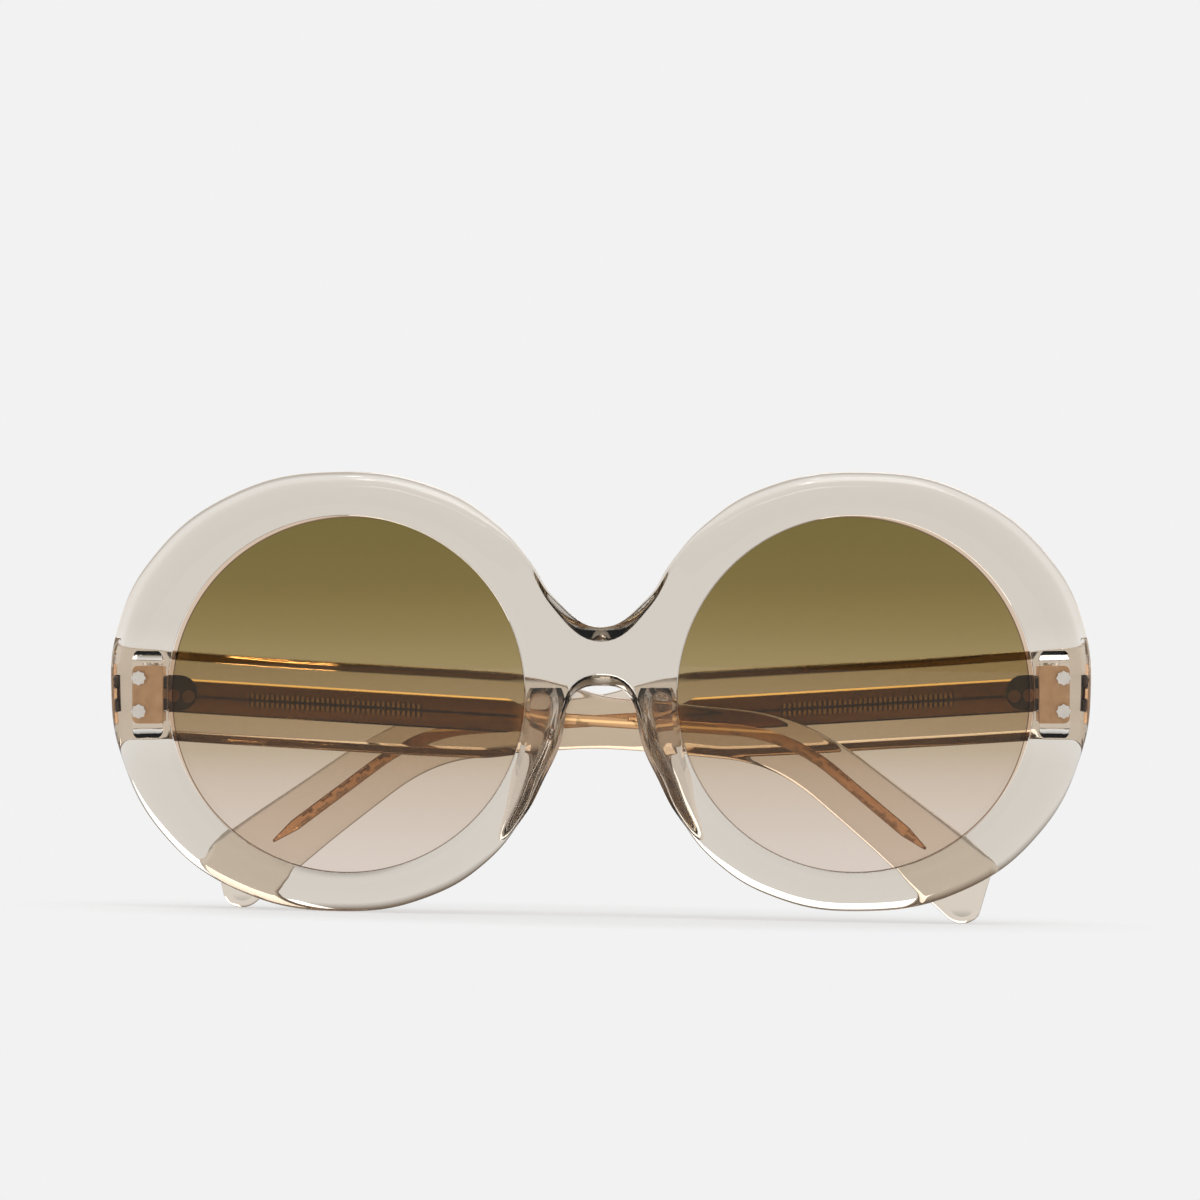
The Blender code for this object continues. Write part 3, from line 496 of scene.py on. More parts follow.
@dataclass(frozen=True)
class Layout:
    """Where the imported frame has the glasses: their own frame and that of each hinge axis."""

    glasses: Matrix
    hinges: dict[Side, Matrix]
    hinge_x: float
    hinge_y: float
    hinge_up: float

    @classmethod
    def read(cls, loaded: dict, hinge_y: float, hinge_up: float) -> "Layout":
        """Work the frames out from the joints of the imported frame.

        Args:
            hinge_y: How far the hinge axes lie behind the front's face at the bridge.
            hinge_up: How far the hinges' middle lies above the eyes' middle.

        Returns:
            The layout.
        """
        joints = {joint["name"]: joint for joint in loaded["joints"]}
        left, right = joints["hinge_left"], joints["hinge_right"]
        start, end = Vector(left["pos_m"]), Vector(right["pos_m"])
        up = Vector(left["axis"]).normalized()
        across = (end - start).normalized()
        back = up.cross(across)
        origin = (start + end) / 2 - back * hinge_y - up * hinge_up
        glasses = Matrix((
            (across.x, back.x, up.x, origin.x),
            (across.y, back.y, up.y, origin.y),
            (across.z, back.z, up.z, origin.z),
            (0.0, 0.0, 0.0, 1.0),
        ))
        half = (end - start).length / 2
        hinges = {}
        for side, joint in ((Side.LEFT, left), (Side.RIGHT, right)):
            fold = math.radians(joint["range_deg"][1])
            place = Matrix.Translation((side.value * half, hinge_y, hinge_up))
            hinges[side] = glasses @ place @ Matrix.Rotation(side.value * fold, 4, "Z")
        return cls(glasses, hinges, half, hinge_y, hinge_up)


# The finishes.


def grey(value: float) -> Colour:
    """A grey as a colour."""
    return value, value, value


class Nodes:
    """A node tree, with short calls for the nodes that the finishes and the surround share."""

    def __init__(
        self, owner: bpy.types.Material | bpy.types.World, out: str = "ShaderNodeOutputMaterial"
    ) -> None:
        """Empty the tree but for its output.

        Args:
            owner: The material or world that has the tree.
            out: The output node's type.
        """
        owner.use_nodes = True
        self.owner = owner
        self.tree = owner.node_tree
        self.tree.nodes.clear()
        self.out = self.add(out)

    def fill(self, node: bpy.types.Node, inputs: Inputs) -> None:
        """Set a node's inputs, or link them.

        Args:
            node: The node.
            inputs: A value or a socket for each input, by its name or number.
        """
        for key, value in inputs.items():
            if isinstance(value, Socket):
                self.tree.links.new(value, node.inputs[key])
            else:
                node.inputs[key].default_value = value

    def add(self, kind: str, inputs: Inputs | None = None, **values: object) -> bpy.types.Node:
        """Add a node.

        Args:
            kind: The node's type.
            inputs: A value or a socket for each input, by its name or number.
            values: Its properties by name.

        Returns:
            The node.
        """
        node = self.tree.nodes.new(kind)
        for key, value in values.items():
            setattr(node, key, value)
        self.fill(node, inputs or {})
        return node

    def show(self, shader: Socket) -> None:
        """Put a shader out on the surface."""
        self.fill(self.out, {"Surface": shader})

    def principled(self, colour: Colour, roughness: float, inputs: Inputs) -> Socket:
        """Add the main shader.

        Args:
            colour: Its plain colour, which a linked one takes the place of.
            roughness: Its plain roughness, the same.
            inputs: A value or a socket for each further input.

        Returns:
            The shader.
        """
        shader = self.add("ShaderNodeBsdfPrincipled", {"Base Color": (*colour, 1.0), "Roughness": roughness})
        self.fill(shader, inputs)
        return shader.outputs["BSDF"]

    def place(self, kind: str = "Object") -> Socket:
        """The object's own coordinates, or another kind."""
        return self.add("ShaderNodeTexCoord").outputs[kind]

    def part(self, vector: Socket, axis: str) -> Socket:
        """One part of a vector."""
        return self.add("ShaderNodeSeparateXYZ", {"Vector": vector}).outputs[axis]

    def ray(self, kind: str) -> Socket:
        """1 for rays of a kind."""
        return self.add("ShaderNodeLightPath").outputs[kind]

    def noise(self, scale: float, detail: float, drawn: float = 1.0) -> Socket:
        """Noise over the object's own coordinates.

        Args:
            scale: How fine it is.
            detail: How many finer layers it has.
            drawn: How far it is drawn out along Y, where less is longer.

        Returns:
            The noise, from 0 to 1.
        """
        place = self.place()
        if drawn != 1.0:
            mapping = self.add("ShaderNodeMapping", {"Vector": place, "Scale": (1.0, drawn, 1.0)})
            place = mapping.outputs["Vector"]
        noise = self.add("ShaderNodeTexNoise", {"Vector": place, "Scale": scale, "Detail": detail})
        return noise.outputs["Fac"]

    def bump(self, height: Socket, strength: float, distance: float) -> Socket:
        """A normal bent by a height."""
        bump = self.add("ShaderNodeBump", {"Height": height, "Strength": strength, "Distance": distance})
        return bump.outputs["Normal"]

    def spread(self, source: Socket, low: float, high: float) -> Socket:
        """Map a share from 0 to 1 onto a range."""
        spread = self.add("ShaderNodeMapRange", {"Value": source, "To Min": low, "To Max": high})
        return spread.outputs["Result"]

    def maths(self, operation: str, *values: Socket | float) -> Socket:
        """Work out a sum of its values."""
        return self.add("ShaderNodeMath", dict(enumerate(values)), operation=operation).outputs["Value"]

    def vector(self, operation: str, *values: Socket | Size) -> Socket:
        """Work out a sum of vectors, or a length."""
        node = self.add("ShaderNodeVectorMath", dict(enumerate(values)), operation=operation)
        return node.outputs["Value" if operation == "LENGTH" else "Vector"]

    def blend(self, share: Socket, first: Socket | Colour, second: Socket | Colour) -> Socket:
        """Blend two colours.

        Args:
            share: How much of the second one shows.
            first: The first colour.
            second: The second colour.

        Returns:
            The blended colour.
        """
        inputs: Inputs = {"Factor": share}
        for name, value in (("A", first), ("B", second)):
            inputs[name] = value if isinstance(value, Socket) else (*value, 1.0)
        return self.add("ShaderNodeMix", inputs, data_type="RGBA").outputs["Result"]

    def mixed(self, share: Socket, first: Socket, second: Socket | None) -> Socket:
        """Mix two shaders.

        Args:
            share: How much of the second one shows.
            first: The first shader.
            second: The second shader, or nothing for black.

        Returns:
            The mixed shader.
        """
        mix = self.add("ShaderNodeMixShader", {"Fac": share, 1: first})
        if second is not None:
            self.fill(mix, {2: second})
        return mix.outputs["Shader"]

    def reach(self, source: Socket, near: float, far: float, near_value: float, far_value: float) -> Socket:
        """Ease a value from one distance to another.

        Args:
            source: The distance.
            near: Where the easing starts.
            far: Where it ends.
            near_value: The value up to the start.
            far_value: The value from the end on.

        Returns:
            The value.
        """
        ease = self.add("ShaderNodeMapRange", {
            "Value": source, "From Min": near, "From Max": far, "To Min": near_value, "To Max": far_value
        }, interpolation_type="SMOOTHSTEP")
        return ease.outputs["Result"]

    def ramp(self, source: Socket, reach: float, stops: Stops, interpolation: str = "LINEAR") -> Socket:
        """A colour that changes along a range about 0.

        Args:
            source: What it changes with.
            reach: The range's half.
            stops: Places from 0 to 1 along the range, and the colours there.
            interpolation: How it runs between them.

        Returns:
            The colour.
        """
        share = self.add("ShaderNodeMapRange", {"Value": source, "From Min": -reach, "From Max": reach})
        node = self.add("ShaderNodeValToRGB", {"Fac": share.outputs["Result"]})
        node.color_ramp.interpolation = interpolation
        elements = node.color_ramp.elements
        while len(elements) < len(stops):
            elements.new(0.5)
        for element, (place, colour) in zip(elements, stops):
            element.position = place
            element.color = (*colour, 1.0)
        return node.outputs["Color"]

    def spot(self, place: Socket, centre: Size, size: Size) -> Socket:
        """How far a place lies from a spot's centre, as a share of the spot's size."""
        return self.vector("LENGTH", self.vector("DIVIDE", self.vector("SUBTRACT", place, centre), size))

    def lit_through(self, shader: Socket, tint: Colour) -> None:
        """Let lamps shine through a clear shader with a tint, and put it out.

        Args:
            shader: The clear shader.
            tint: The colour that light takes on.
        """
        open_way = self.add("ShaderNodeBsdfTransparent", {"Color": (*tint, 1.0)})
        self.show(self.mixed(self.ray("Is Shadow Ray"), shader, open_way.outputs["BSDF"]))


@dataclass(frozen=True)
class ClearAcetate:
    """Polished acetate that light passes, tinted by how thick it is."""

    name: str
    tint: Colour
    density: float
    surface: Colour = (1.0, 0.995, 0.985)
    shadow: Colour = (0.95, 0.93, 0.90)
    ripple: float = 0.02 * MM
    ripple_strength: float = 0.5
    ripple_scale: float = 90.0
    haze_scale: float = 540.0
    index: float = 1.49
    least_roughness: float = 0.015
    most_roughness: float = 0.05

    def material(self) -> bpy.types.Material:
        """Build the material.

        Returns:
            The material.
        """
        nodes = Nodes(bpy.data.materials.new(self.name))
        haze = nodes.noise(self.haze_scale, 3.0)
        wave = nodes.noise(self.ripple_scale, 1.0)
        shader = nodes.principled(self.surface, self.least_roughness, {
            "Transmission Weight": 1.0,
            "IOR": self.index,
            "Roughness": nodes.spread(haze, self.least_roughness, self.most_roughness),
            "Normal": nodes.bump(wave, self.ripple_strength, self.ripple),
        })
        inner = nodes.add("ShaderNodeVolumeAbsorption", {"Color": (*self.tint, 1.0), "Density": self.density})
        nodes.fill(nodes.out, {"Volume": inner.outputs["Volume"]})
        nodes.lit_through(shader, self.shadow)
        return nodes.owner


@dataclass(frozen=True)
class GraduatedTint:
    """Lens tint that runs from dark at the top to nearly clear at the bottom."""

    name: str
    radius: float
    stops: Stops
    edge: Colour = (0.17, 0.10, 0.06)
    edge_line: float = 0.16 * MM
    # Painted refraction: a pinkish band at the lens's upper outer edge stands for the rim's wall seen beside
    # it.
    painted_wall: Colour = (0.76, 0.60, 0.47)
    painted_wall_width: float = 0.5 * MM
    painted_wall_turn: float = math.radians(35.0)
    painted_wall_reach: Point = (0.2, 0.9)
    plain: Colour = (0.5, 0.45, 0.3)
    plain_roughness: float = 0.01
    shadow: Colour = (0.62, 0.56, 0.45)
    haze: Point = (0.004, 0.02)
    haze_scale: float = 700.0
    index: float = 1.5

    def material(self, side: Side) -> bpy.types.Material:
        """Build the material for one side's lens, whose upper outer edge carries a painted refraction of the
        rim's wall beside it.

        Args:
            side: The lens's side.

        Returns:
            The material.
        """
        nodes = Nodes(bpy.data.materials.new(self.name))
        place = nodes.place()
        height = nodes.part(place, "Z")
        turned_out = side.value * math.cos(self.painted_wall_turn) / self.radius
        turned_up = math.sin(self.painted_wall_turn) / self.radius
        tint = nodes.ramp(height, self.radius, self.stops, "B_SPLINE")
        out = nodes.vector("LENGTH", nodes.vector("MULTIPLY", place, (1.0, 0.0, 1.0)))
        across = nodes.maths("MULTIPLY", nodes.part(place, "X"), turned_out)
        up = nodes.maths("MULTIPLY", height, turned_up)
        # The painted wall band is widest towards the upper outer edge.
        painted_wall = nodes.reach(nodes.maths("ADD", across, up), *self.painted_wall_reach, 0.0, self.painted_wall_width)
        past = nodes.maths("ADD", nodes.maths("SUBTRACT", out, self.radius), painted_wall)
        at_edge = nodes.reach(past, -self.edge_line, -0.4 * self.edge_line, 0.0, 1.0)
        on_painted_wall = nodes.reach(past, 0.0, 0.3 * self.edge_line, 0.0, 1.0)
        shader = nodes.principled(self.plain, self.plain_roughness, {
            "Transmission Weight": 1.0,
            "IOR": self.index,
            "Base Color": nodes.blend(on_painted_wall, nodes.blend(at_edge, tint, self.edge), self.painted_wall),
            "Roughness": nodes.spread(nodes.noise(self.haze_scale, 2.0), *self.haze),
        })
        nodes.lit_through(shader, self.shadow)
        return nodes.owner


@dataclass(frozen=True)
class Metal:
    """A satin metal with fine grain and stains."""

    name: str
    colour: Colour
    worn_colour: Colour
    roughness: float
    grain_scale: float = 900.0
    grain_height: float = 0.03 * MM
    grain_strength: float = 0.25
    gloss: Point = (0.7, 1.4)

    def material(self) -> bpy.types.Material:
        """Build the material.

        Returns:
            The material.
        """
        nodes = Nodes(bpy.data.materials.new(self.name))
        stain = nodes.noise(self.grain_scale / 3, 4.0)
        grain = nodes.noise(self.grain_scale, 3.0)
        nodes.show(nodes.principled(self.colour, self.roughness, {
            "Metallic": 1.0,
            "Base Color": nodes.blend(stain, self.colour, self.worn_colour),
            "Roughness": nodes.spread(grain, *(self.roughness * share for share in self.gloss)),
            "Normal": nodes.bump(grain, self.grain_strength, self.grain_height),
        }))
        return nodes.owner


@dataclass(frozen=True)
class CoreMetal:
    """The finish of a temple's core: a dark strip with ribs and a groove, a painted highlight along its upper
    edge and painted shade along its lower edge, groove and ribs, then a gold wire with a painted highlight
    line.
    """

    name: str
    strip: Colour
    # The edge gold serves the stains and the ribbed field, and the painted highlight along the upper edge.
    edge: Colour
    wire: Colour
    slope: float
    drop: float
    half: float
    strip_end: float
    strip_fade: float = 3.0 * MM
    groove_half: float = 0.24 * MM
    rib_pitch: float = 0.74 * MM
    rib_start: float = 13.8 * MM
    rib_end: float = 39.5 * MM
    rib_height: float = 1.0 * MM
    rib_fade: float = 0.2 * MM
    rib_wave: Point = (0.25, 0.5)
    field_brightness: float = 0.65
    # Painted shade: the lower border, the groove and the ribs are darkened towards a tenth of the strip's
    # colour.
    border: Point = (0.35 * MM, 0.15 * MM)
    painted_shade_share: float = 0.1
    stain: float = 0.4
    stain_scale: float = 1100.0
    stain_drawn: float = 0.02
    grain_scale: float = 800.0
    grain_drawn: float = 0.03
    grain_share: float = 0.15
    relief: float = 0.1 * MM
    relief_strength: float = 0.6
    roughness: float = 0.18
    gloss: Point = (0.6, 1.5)
    # Painted highlight: warm emission along the strip's upper edge and a thin line along the wire; the core
    # is no lamp.
    edge_highlight_glow: float = 1.9
    wire_highlight_glow: float = 0.5
    highlight_line: Point = (0.10 * MM, 0.24 * MM)
    highlight_start: Point = (1.0 * MM, 5.0 * MM)
    painted_highlight_colour: Colour = (1.0, 0.72, 0.32)

    def _ribs(self, nodes: Nodes, back: Socket, off: Socket) -> tuple[Socket, Socket]:
        """The field along the strip's middle that has ribs, and the ribs.

        Args:
            nodes: The material's nodes.
            back: How far back a place lies.
            off: How far it lies from the middle line.

        Returns:
            Two masks: the field and the ribs in it.
        """
        wave = nodes.maths("SINE", nodes.maths("MULTIPLY", back, math.tau / self.rib_pitch))
        area = nodes.reach(off, self.rib_height - self.rib_fade / 2, self.rib_height, 1.0, 0.0)
        for place, before, after in ((self.rib_start, 0.0, 1.0), (self.rib_end, 1.0, 0.0)):
            mask = nodes.reach(back, place, place + self.rib_fade, before, after)
            area = nodes.maths("MULTIPLY", area, mask)
        return area, nodes.maths("MULTIPLY", nodes.reach(wave, *self.rib_wave, 0.0, 1.0), area)

    def _painted_highlight(self, nodes: Nodes, back: Socket, off: Socket, upper: Socket) -> Socket:
        """The painted highlight: emission along the strip's upper edge and along the wire's middle.

        Args:
            nodes: The material's nodes.
            back: How far back a place lies.
            off: How far it lies from the middle line.
            upper: The mask of the upper edge.

        Returns:
            The strength.
        """
        start, end = (self.strip_end + beyond for beyond in self.highlight_start)
        on_wire = nodes.maths("MULTIPLY", nodes.reach(back, start, end, 0.0, 1.0), self.wire_highlight_glow)
        line = nodes.maths("MULTIPLY", nodes.reach(off, *self.highlight_line, 1.0, 0.0), on_wire)
        return nodes.maths("ADD", nodes.maths("MULTIPLY", upper, self.edge_highlight_glow), line)

    def material(self) -> bpy.types.Material:
        """Build the material.

        Returns:
            The material.
        """
        nodes = Nodes(bpy.data.materials.new(self.name))
        place = nodes.place()
        back = nodes.part(place, "Y")
        fall = nodes.maths("MULTIPLY_ADD", back, self.slope, self.drop)
        above = nodes.maths("ADD", nodes.part(place, "Z"), fall)
        off = nodes.maths("ABSOLUTE", above)
        on_strip = nodes.reach(back, self.strip_end, self.strip_end + self.strip_fade, 1.0, 0.0)
        groove = nodes.reach(off, self.groove_half / 2, self.groove_half, 1.0, 0.0)
        groove = nodes.maths("MULTIPLY", groove, on_strip)
        ribbed, rib = self._ribs(nodes, back, off)
        cut_in = nodes.maths("MAXIMUM", groove, rib)
        border = nodes.reach(off, self.half - self.border[0], self.half - self.border[1], 0.0, 1.0)
        border = nodes.maths("MULTIPLY", border, on_strip)
        # The upper border takes the gold and a painted highlight, the lower border painted shade.
        upper = nodes.maths("MULTIPLY", border, nodes.reach(above, 0.0, self.rib_fade, 0.0, 1.0))
        lower = nodes.maths("MULTIPLY", border, nodes.reach(above, -self.rib_fade, 0.0, 1.0, 0.0))
        stain = nodes.spread(nodes.noise(self.stain_scale, 2.0, self.stain_drawn), 0.0, self.stain)
        bare = nodes.maths("MAXIMUM", stain, nodes.maths("MULTIPLY", ribbed, self.field_brightness))
        colour = nodes.blend(upper, nodes.blend(bare, self.strip, self.edge), self.edge)
        colour = nodes.blend(on_strip, self.wire, colour)
        # Painted shade colour for the groove, the ribs and the lower border.
        painted_shade = tuple(self.painted_shade_share * part for part in self.strip)
        grain = nodes.noise(self.grain_scale, 3.0, self.grain_drawn)
        height = nodes.maths("SUBTRACT", nodes.maths("MULTIPLY", grain, self.grain_share), cut_in)
        # The emission paints the highlights on the upper edge and the wire.
        nodes.show(nodes.principled(self.strip, self.roughness, {
            "Metallic": 1.0,
            "Base Color": nodes.blend(nodes.maths("MAXIMUM", cut_in, lower), colour, painted_shade),
            "Roughness": nodes.spread(grain, *(self.roughness * share for share in self.gloss)),
            "Normal": nodes.bump(height, self.relief_strength, self.relief),
            "Emission Strength": self._painted_highlight(nodes, back, off, upper),
            "Emission Color": (*self.painted_highlight_colour, 1.0),
        }))
        return nodes.owner


def dress(obj: bpy.types.Object, material: bpy.types.Material) -> None:
    """Give a piece its material in every slot.

    Args:
        obj: The piece.
        material: Its finish.
    """
    if not obj.data.materials:
        obj.data.materials.append(material)
    for index in range(len(obj.data.materials)):
        obj.data.materials[index] = material


def add_piece(
    name: str, mesh: Mesh, place: Matrix, material: bpy.types.Material, body: str,
    stands_for: str, crease: float
) -> None:
    """Put a mesh in the scene as a piece that rides on a body.

    Args:
        name: The piece's name.
        mesh: Its mesh, in the frame of its place.
        place: Where that frame lies.
        material: Its finish.
        body: The CAD body that carries it.
        stands_for: The CAD node it is shown in place of.
        crease: The angle in degrees from which an edge stays sharp.
    """
    obj = put(name, mesh)
    obj.matrix_world = place
    dress(obj, material)
    mesh.shade_smooth()
    mesh.set_sharp_from_angle(angle=math.radians(crease))
    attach(obj, body)
    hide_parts(stands_for)
    LOG.info("piece %s rides on %s", name, body)


def turned(name: str, profile: Sequence[Point], steps: int) -> Mesh:
    """A closed body turned about Y from a profile of radius and depth.

    Args:
        name: The mesh's name.
        profile: Radius and depth, from one end of the axis to the other.
        steps: How many points each ring has.

    Returns:
        The mesh.
    """
    corners: list[Size] = []
    rows = []
    for radius, depth in profile:
        ring = circle((0.0, 0.0), radius, steps) if radius > 0 else [(0.0, 0.0)]
        rows.append(range(len(corners), len(corners) + len(ring)))
        corners += [(x, depth, z) for x, z in ring]
    faces: list[tuple[int, ...]] = []
    for first, second in zip(rows, rows[1:]):
        faces += band(first, second)
    return closed_mesh(name, corners, faces)


def block(low: Sequence[float], high: Sequence[float]) -> Mesh:
    """A box between two corners.

    Args:
        low: Its lowest corner.
        high: Its highest corner.

    Returns:
        The mesh.
    """
    work = bmesh.new()
    bmesh.ops.create_cube(work, size=1.0)
    size = Vector(high) - Vector(low)
    middle = (Vector(high) + Vector(low)) / 2
    for vertex in work.verts:
        vertex.co = Vector([vertex.co[k] * size[k] + middle[k] for k in range(3)])
    mesh = bpy.data.meshes.new("block")
    work.to_mesh(mesh)
    work.free()
    return mesh


def cut(mesh: Mesh, tools: Sequence[Mesh]) -> Mesh:
    """Cut a mesh with others.

    Args:
        mesh: What is cut.
        tools: The cutters, in the same frame.

    Returns:
        The cut mesh.
    """
    body = put("body", mesh)
    helpers = [put("tool", tool) for tool in tools]
    for helper in helpers:
        modifier = body.modifiers.new("cut", "BOOLEAN")
        modifier.solver = "EXACT"
        modifier.object = helper
    result = settled(body)
    for obj in [body] + helpers:
        bpy.data.objects.remove(obj)
    return result


# The front.


@dataclass
class Front:
    """The front: two rims joined by a bridge, with lens grooves and milled hinge seats."""

    eye_x: float = 37.5 * MM
    rim_width: float = 34.6 * MM
    rim_top: float = 32.6 * MM
    rim_bottom: float = 32.05 * MM
    thickness: float = 4.8 * MM
    opening_radius: float = 26.3 * MM
    groove_depth: float = 0.10 * MM
    groove_half: float = 0.90 * MM
    wrap_slope: float = WRAP_SLOPE
    wrap_half: float = 11.0 * MM
    bridge_top: float = 10.15 * MM
    arch_top: float = 1.2 * MM
    bevel: float = 2.35 * MM
    bevel_width: float = 17.5 * MM
    bevel_reach: float = 13.5 * MM
    bevel_tail: float = 28.0 * MM
    bevel_tail_share: float = 0.1
    bevel_fade: float = 4.6 * MM
    eye_margin: float = 1.0 * MM
    flare: float = 1.6 * MM
    flare_length: float = 23.0 * MM
    flare_fade: float = 3.4 * MM
    outer_roll: float = 1.7 * MM
    bridge_roll: float = 0.5 * MM
    eye_roll: float = 0.06 * MM
    back_roll: float = 0.9 * MM
    roll_start: float = 9.0 * MM
    roll_change: float = 12.0 * MM
    crown: float = 0.9 * MM
    crown_width: float = 6.0 * MM
    eye_crown: float = 0.2 * MM
    eye_crown_width: float = 3.0 * MM
    outline_spacing: float = 0.9 * MM
    net_spacing: float = 1.3 * MM
    eye_steps: int = 160
    curve_steps: int = 14
    seat_depth: float = 0.9 * MM
    seat_half: float = 7.0 * MM
    seat_inner: float = 2.2 * MM
    seat_fade: float = 5.0 * MM
    notch_start: float = 3.6 * MM
    notch_half: float = 8.1 * MM
    notch_reach: Point = (12.0 * MM, 3.0 * MM)
    notch_slope: float = math.tan(math.radians(30))
    block_inner: float = 1.88 * MM
    pocket_width: float = 4.26 * MM
    pocket_height: float = 13.2 * MM
    pocket_depth: float = 1.48 * MM
    pocket_corner: float = 1.3 * MM
    pocket_roll: float = 2.4 * MM
    pocket_above: float = 0.5 * MM
    pocket_steps: int = 5
    pocket_rings: tuple[float, ...] = (0.1 * MM, 0.3 * MM, 0.6 * MM)
    pocket_spacing: float = 0.35 * MM
    pocket_net: float = 0.5 * MM
    crease: float = 38.0
    hinge_gap: float = 2.8 * MM
    hinge_inset: float = 6.1 * MM
    hinge_up: float = -0.2 * MM
    rings: tuple[float, ...] = (0.06 * MM, 0.20 * MM, 0.42 * MM, 0.80 * MM, 1.30 * MM, 1.90 * MM)
    v_side: tuple[Point, ...] = ((0.179, 0.183), (0.275, 0.419), (0.403, 0.655), (0.629, 0.889))
    outer_rim: tuple[Point, ...] = (
        (0.040, 1.0), (0.488, 0.896), (0.832, 0.600), (0.977, 0.276), (1.0, 0.015),
        (0.962, -0.271), (0.783, -0.643), (0.448, -0.911), (0.0, -1.0),
    )
    nose_side: tuple[Point, ...] = (
        (0.675, 0.934), (0.445, 0.774), (0.300, 0.562), (0.237, 0.403), (0.173, 0.258),
        (0.141, 0.126), (0.091, 0.024),
    )

    @property
    def hinge_x(self) -> float:
        """How far the hinge axes lie from the middle."""
        return self.eye_x + self.rim_width - self.hinge_inset

    @property
    def hinge_y(self) -> float:
        """How far the hinge axes lie behind the face at the bridge."""
        through = self.thickness * math.hypot(1.0, self.wrap_slope)
        return float(self.wrap(self.hinge_x)) + through + self.hinge_gap

    @property
    def seat(self) -> float:
        """Where the floor of a hinge's seat lies, counted back from the hinge axis."""
        return -(self.hinge_gap * math.cos(math.atan(self.wrap_slope)) + self.seat_depth)

    def wrap(self, x: np.ndarray | float) -> np.ndarray | float:
        """How far back the face lies.

        Args:
            x: A place across it, or many of them.

        Returns:
            The depth there.
        """
        reach = np.abs(x)
        bent = self.wrap_slope * reach * reach / (2 * self.wrap_half)
        straight = self.wrap_slope * (reach - self.wrap_half / 2)
        return np.where(reach < self.wrap_half, bent, straight)

    def outline(self) -> Loop:
        """Draw the outer outline of both rims and the bridge.

        Returns:
            The outline.
        """
        half = [(0.0, self.bridge_top)]
        for across, up in self.v_side:
            half.append((across * self.eye_x, self.bridge_top + up * (self.rim_top - self.bridge_top)))
        for across, up in self.outer_rim:
            height = self.rim_top if up > 0 else self.rim_bottom
            half.append((self.eye_x + across * self.rim_width, up * height))
        for across, down in self.nose_side:
            half.append((across * self.eye_x, self.arch_top - down * (self.arch_top + self.rim_bottom)))
        half.append((0.0, self.arch_top))
        mirrored = [(-x, z) for x, z in reversed(half[1:-1])]
        curve = smooth_loop("front_outline", half + mirrored, self.curve_steps)
        return even_loop(curve, self.outline_spacing)

    def rim_share(self, points: np.ndarray) -> np.ndarray:
        """How far places lie from the bridge out on the rims, as a share."""
        return smooth_step((np.abs(points[:, 0]) - self.roll_start) / self.roll_change)

    def front_face(self, points: np.ndarray, from_outline: np.ndarray, from_eye: np.ndarray) -> np.ndarray:
        """The front face's depth: a soft crown that rolls over at the rims' edges.

        Args:
            points: Places on the face.
            from_outline: Their distance from the outer outline.
            from_eye: Their distance from the nearer lens opening.

        Returns:
            The depths.
        """
        away = self.rim_share(points)
        radius = self.bridge_roll + (self.outer_roll - self.bridge_roll) * away
        fall = self.crown * away * np.clip(1 - from_outline / self.crown_width, 0.0, 1.0) ** 2
        fall += self.eye_crown * np.clip(1 - from_eye / self.eye_crown_width, 0.0, 1.0) ** 2
        return fall + roll(from_outline, radius) + roll(from_eye, self.eye_roll)

    def back_face(self, points: np.ndarray, from_outline: np.ndarray, from_eye: np.ndarray) -> np.ndarray:
        """The back face's depth: flat with rounded edges, and a soft hollow at each hinge.

        Args:
            points: Places on the face.
            from_outline: Their distance from the outer outline.
            from_eye: Their distance from the nearer lens opening.

        Returns:
            The depths.
        """
        away = self.rim_share(points)
        radius = self.bridge_roll + (self.back_roll - self.bridge_roll) * away
        inner = self.hinge_x - self.seat_inner
        hollow = smooth_step((np.abs(points[:, 0]) - inner + self.seat_fade) / self.seat_fade)
        hollow = hollow * (1 - smooth_step((np.abs(points[:, 1]) - self.seat_half) / self.seat_fade))
        depth = self.thickness - self.seat_depth * hollow
        return depth - roll(from_outline, radius) - roll(from_eye, self.eye_roll)

    def bend(self, mesh: Mesh, outline: Loop) -> None:
        """Slope the bridge's top and the arch over the nose, then bend the front round the face.

        Args:
            mesh: The flat front.
            outline: Its outer outline.
        """
        flat = np.empty(len(mesh.vertices) * 3)
        mesh.vertices.foreach_get("co", flat)
        x, y, z = flat.reshape(-1, 3).T.copy()
        from_outline = reach_from(np.stack([x, z], axis=1), outline)
        depth = np.clip(y / self.thickness, 0.0, 1.0)
        reach = np.abs(x)
        from_eye = np.hypot(reach - self.eye_x, z) - self.opening_radius
        clear = smooth_step((from_eye - self.eye_margin) / self.eye_margin)
        free = clear * (1 - smooth_step(reach / self.bevel_width))
        along = (1 - self.bevel_tail_share) * (1 - smooth_step(reach / self.bevel_reach))
        along += self.bevel_tail_share * (1 - smooth_step(reach / self.bevel_tail))
        upper = z > (self.bridge_top + self.arch_top) / 2
        slide = self.bevel * depth * clear * along * np.clip(1 - from_outline / self.bevel_fade, 0.0, 1.0)
        length = np.hypot(reach, z - self.rim_top)
        top_x = reach / length * slide
        top_z = (z - self.rim_top) / length * slide
        drop = np.clip(self.arch_top - z, 0.0, None)
        lift = self.flare * depth * free * (1 - smooth_step(drop / self.flare_length))
        lift *= np.clip(1 - from_outline / self.flare_fade, 0.0, 1.0)
        lean = np.clip(reach / self.opening_radius + drop / self.flare_length, 0.0, 1.0)
        moved_x = x + np.sign(x) * np.where(upper, top_x, lift * lean)
        moved_z = z + np.where(upper, top_z, lift * (1 - lean))
        place = np.stack([moved_x, y + self.wrap(moved_x), moved_z], axis=1)
        mesh.vertices.foreach_set("co", place.ravel())
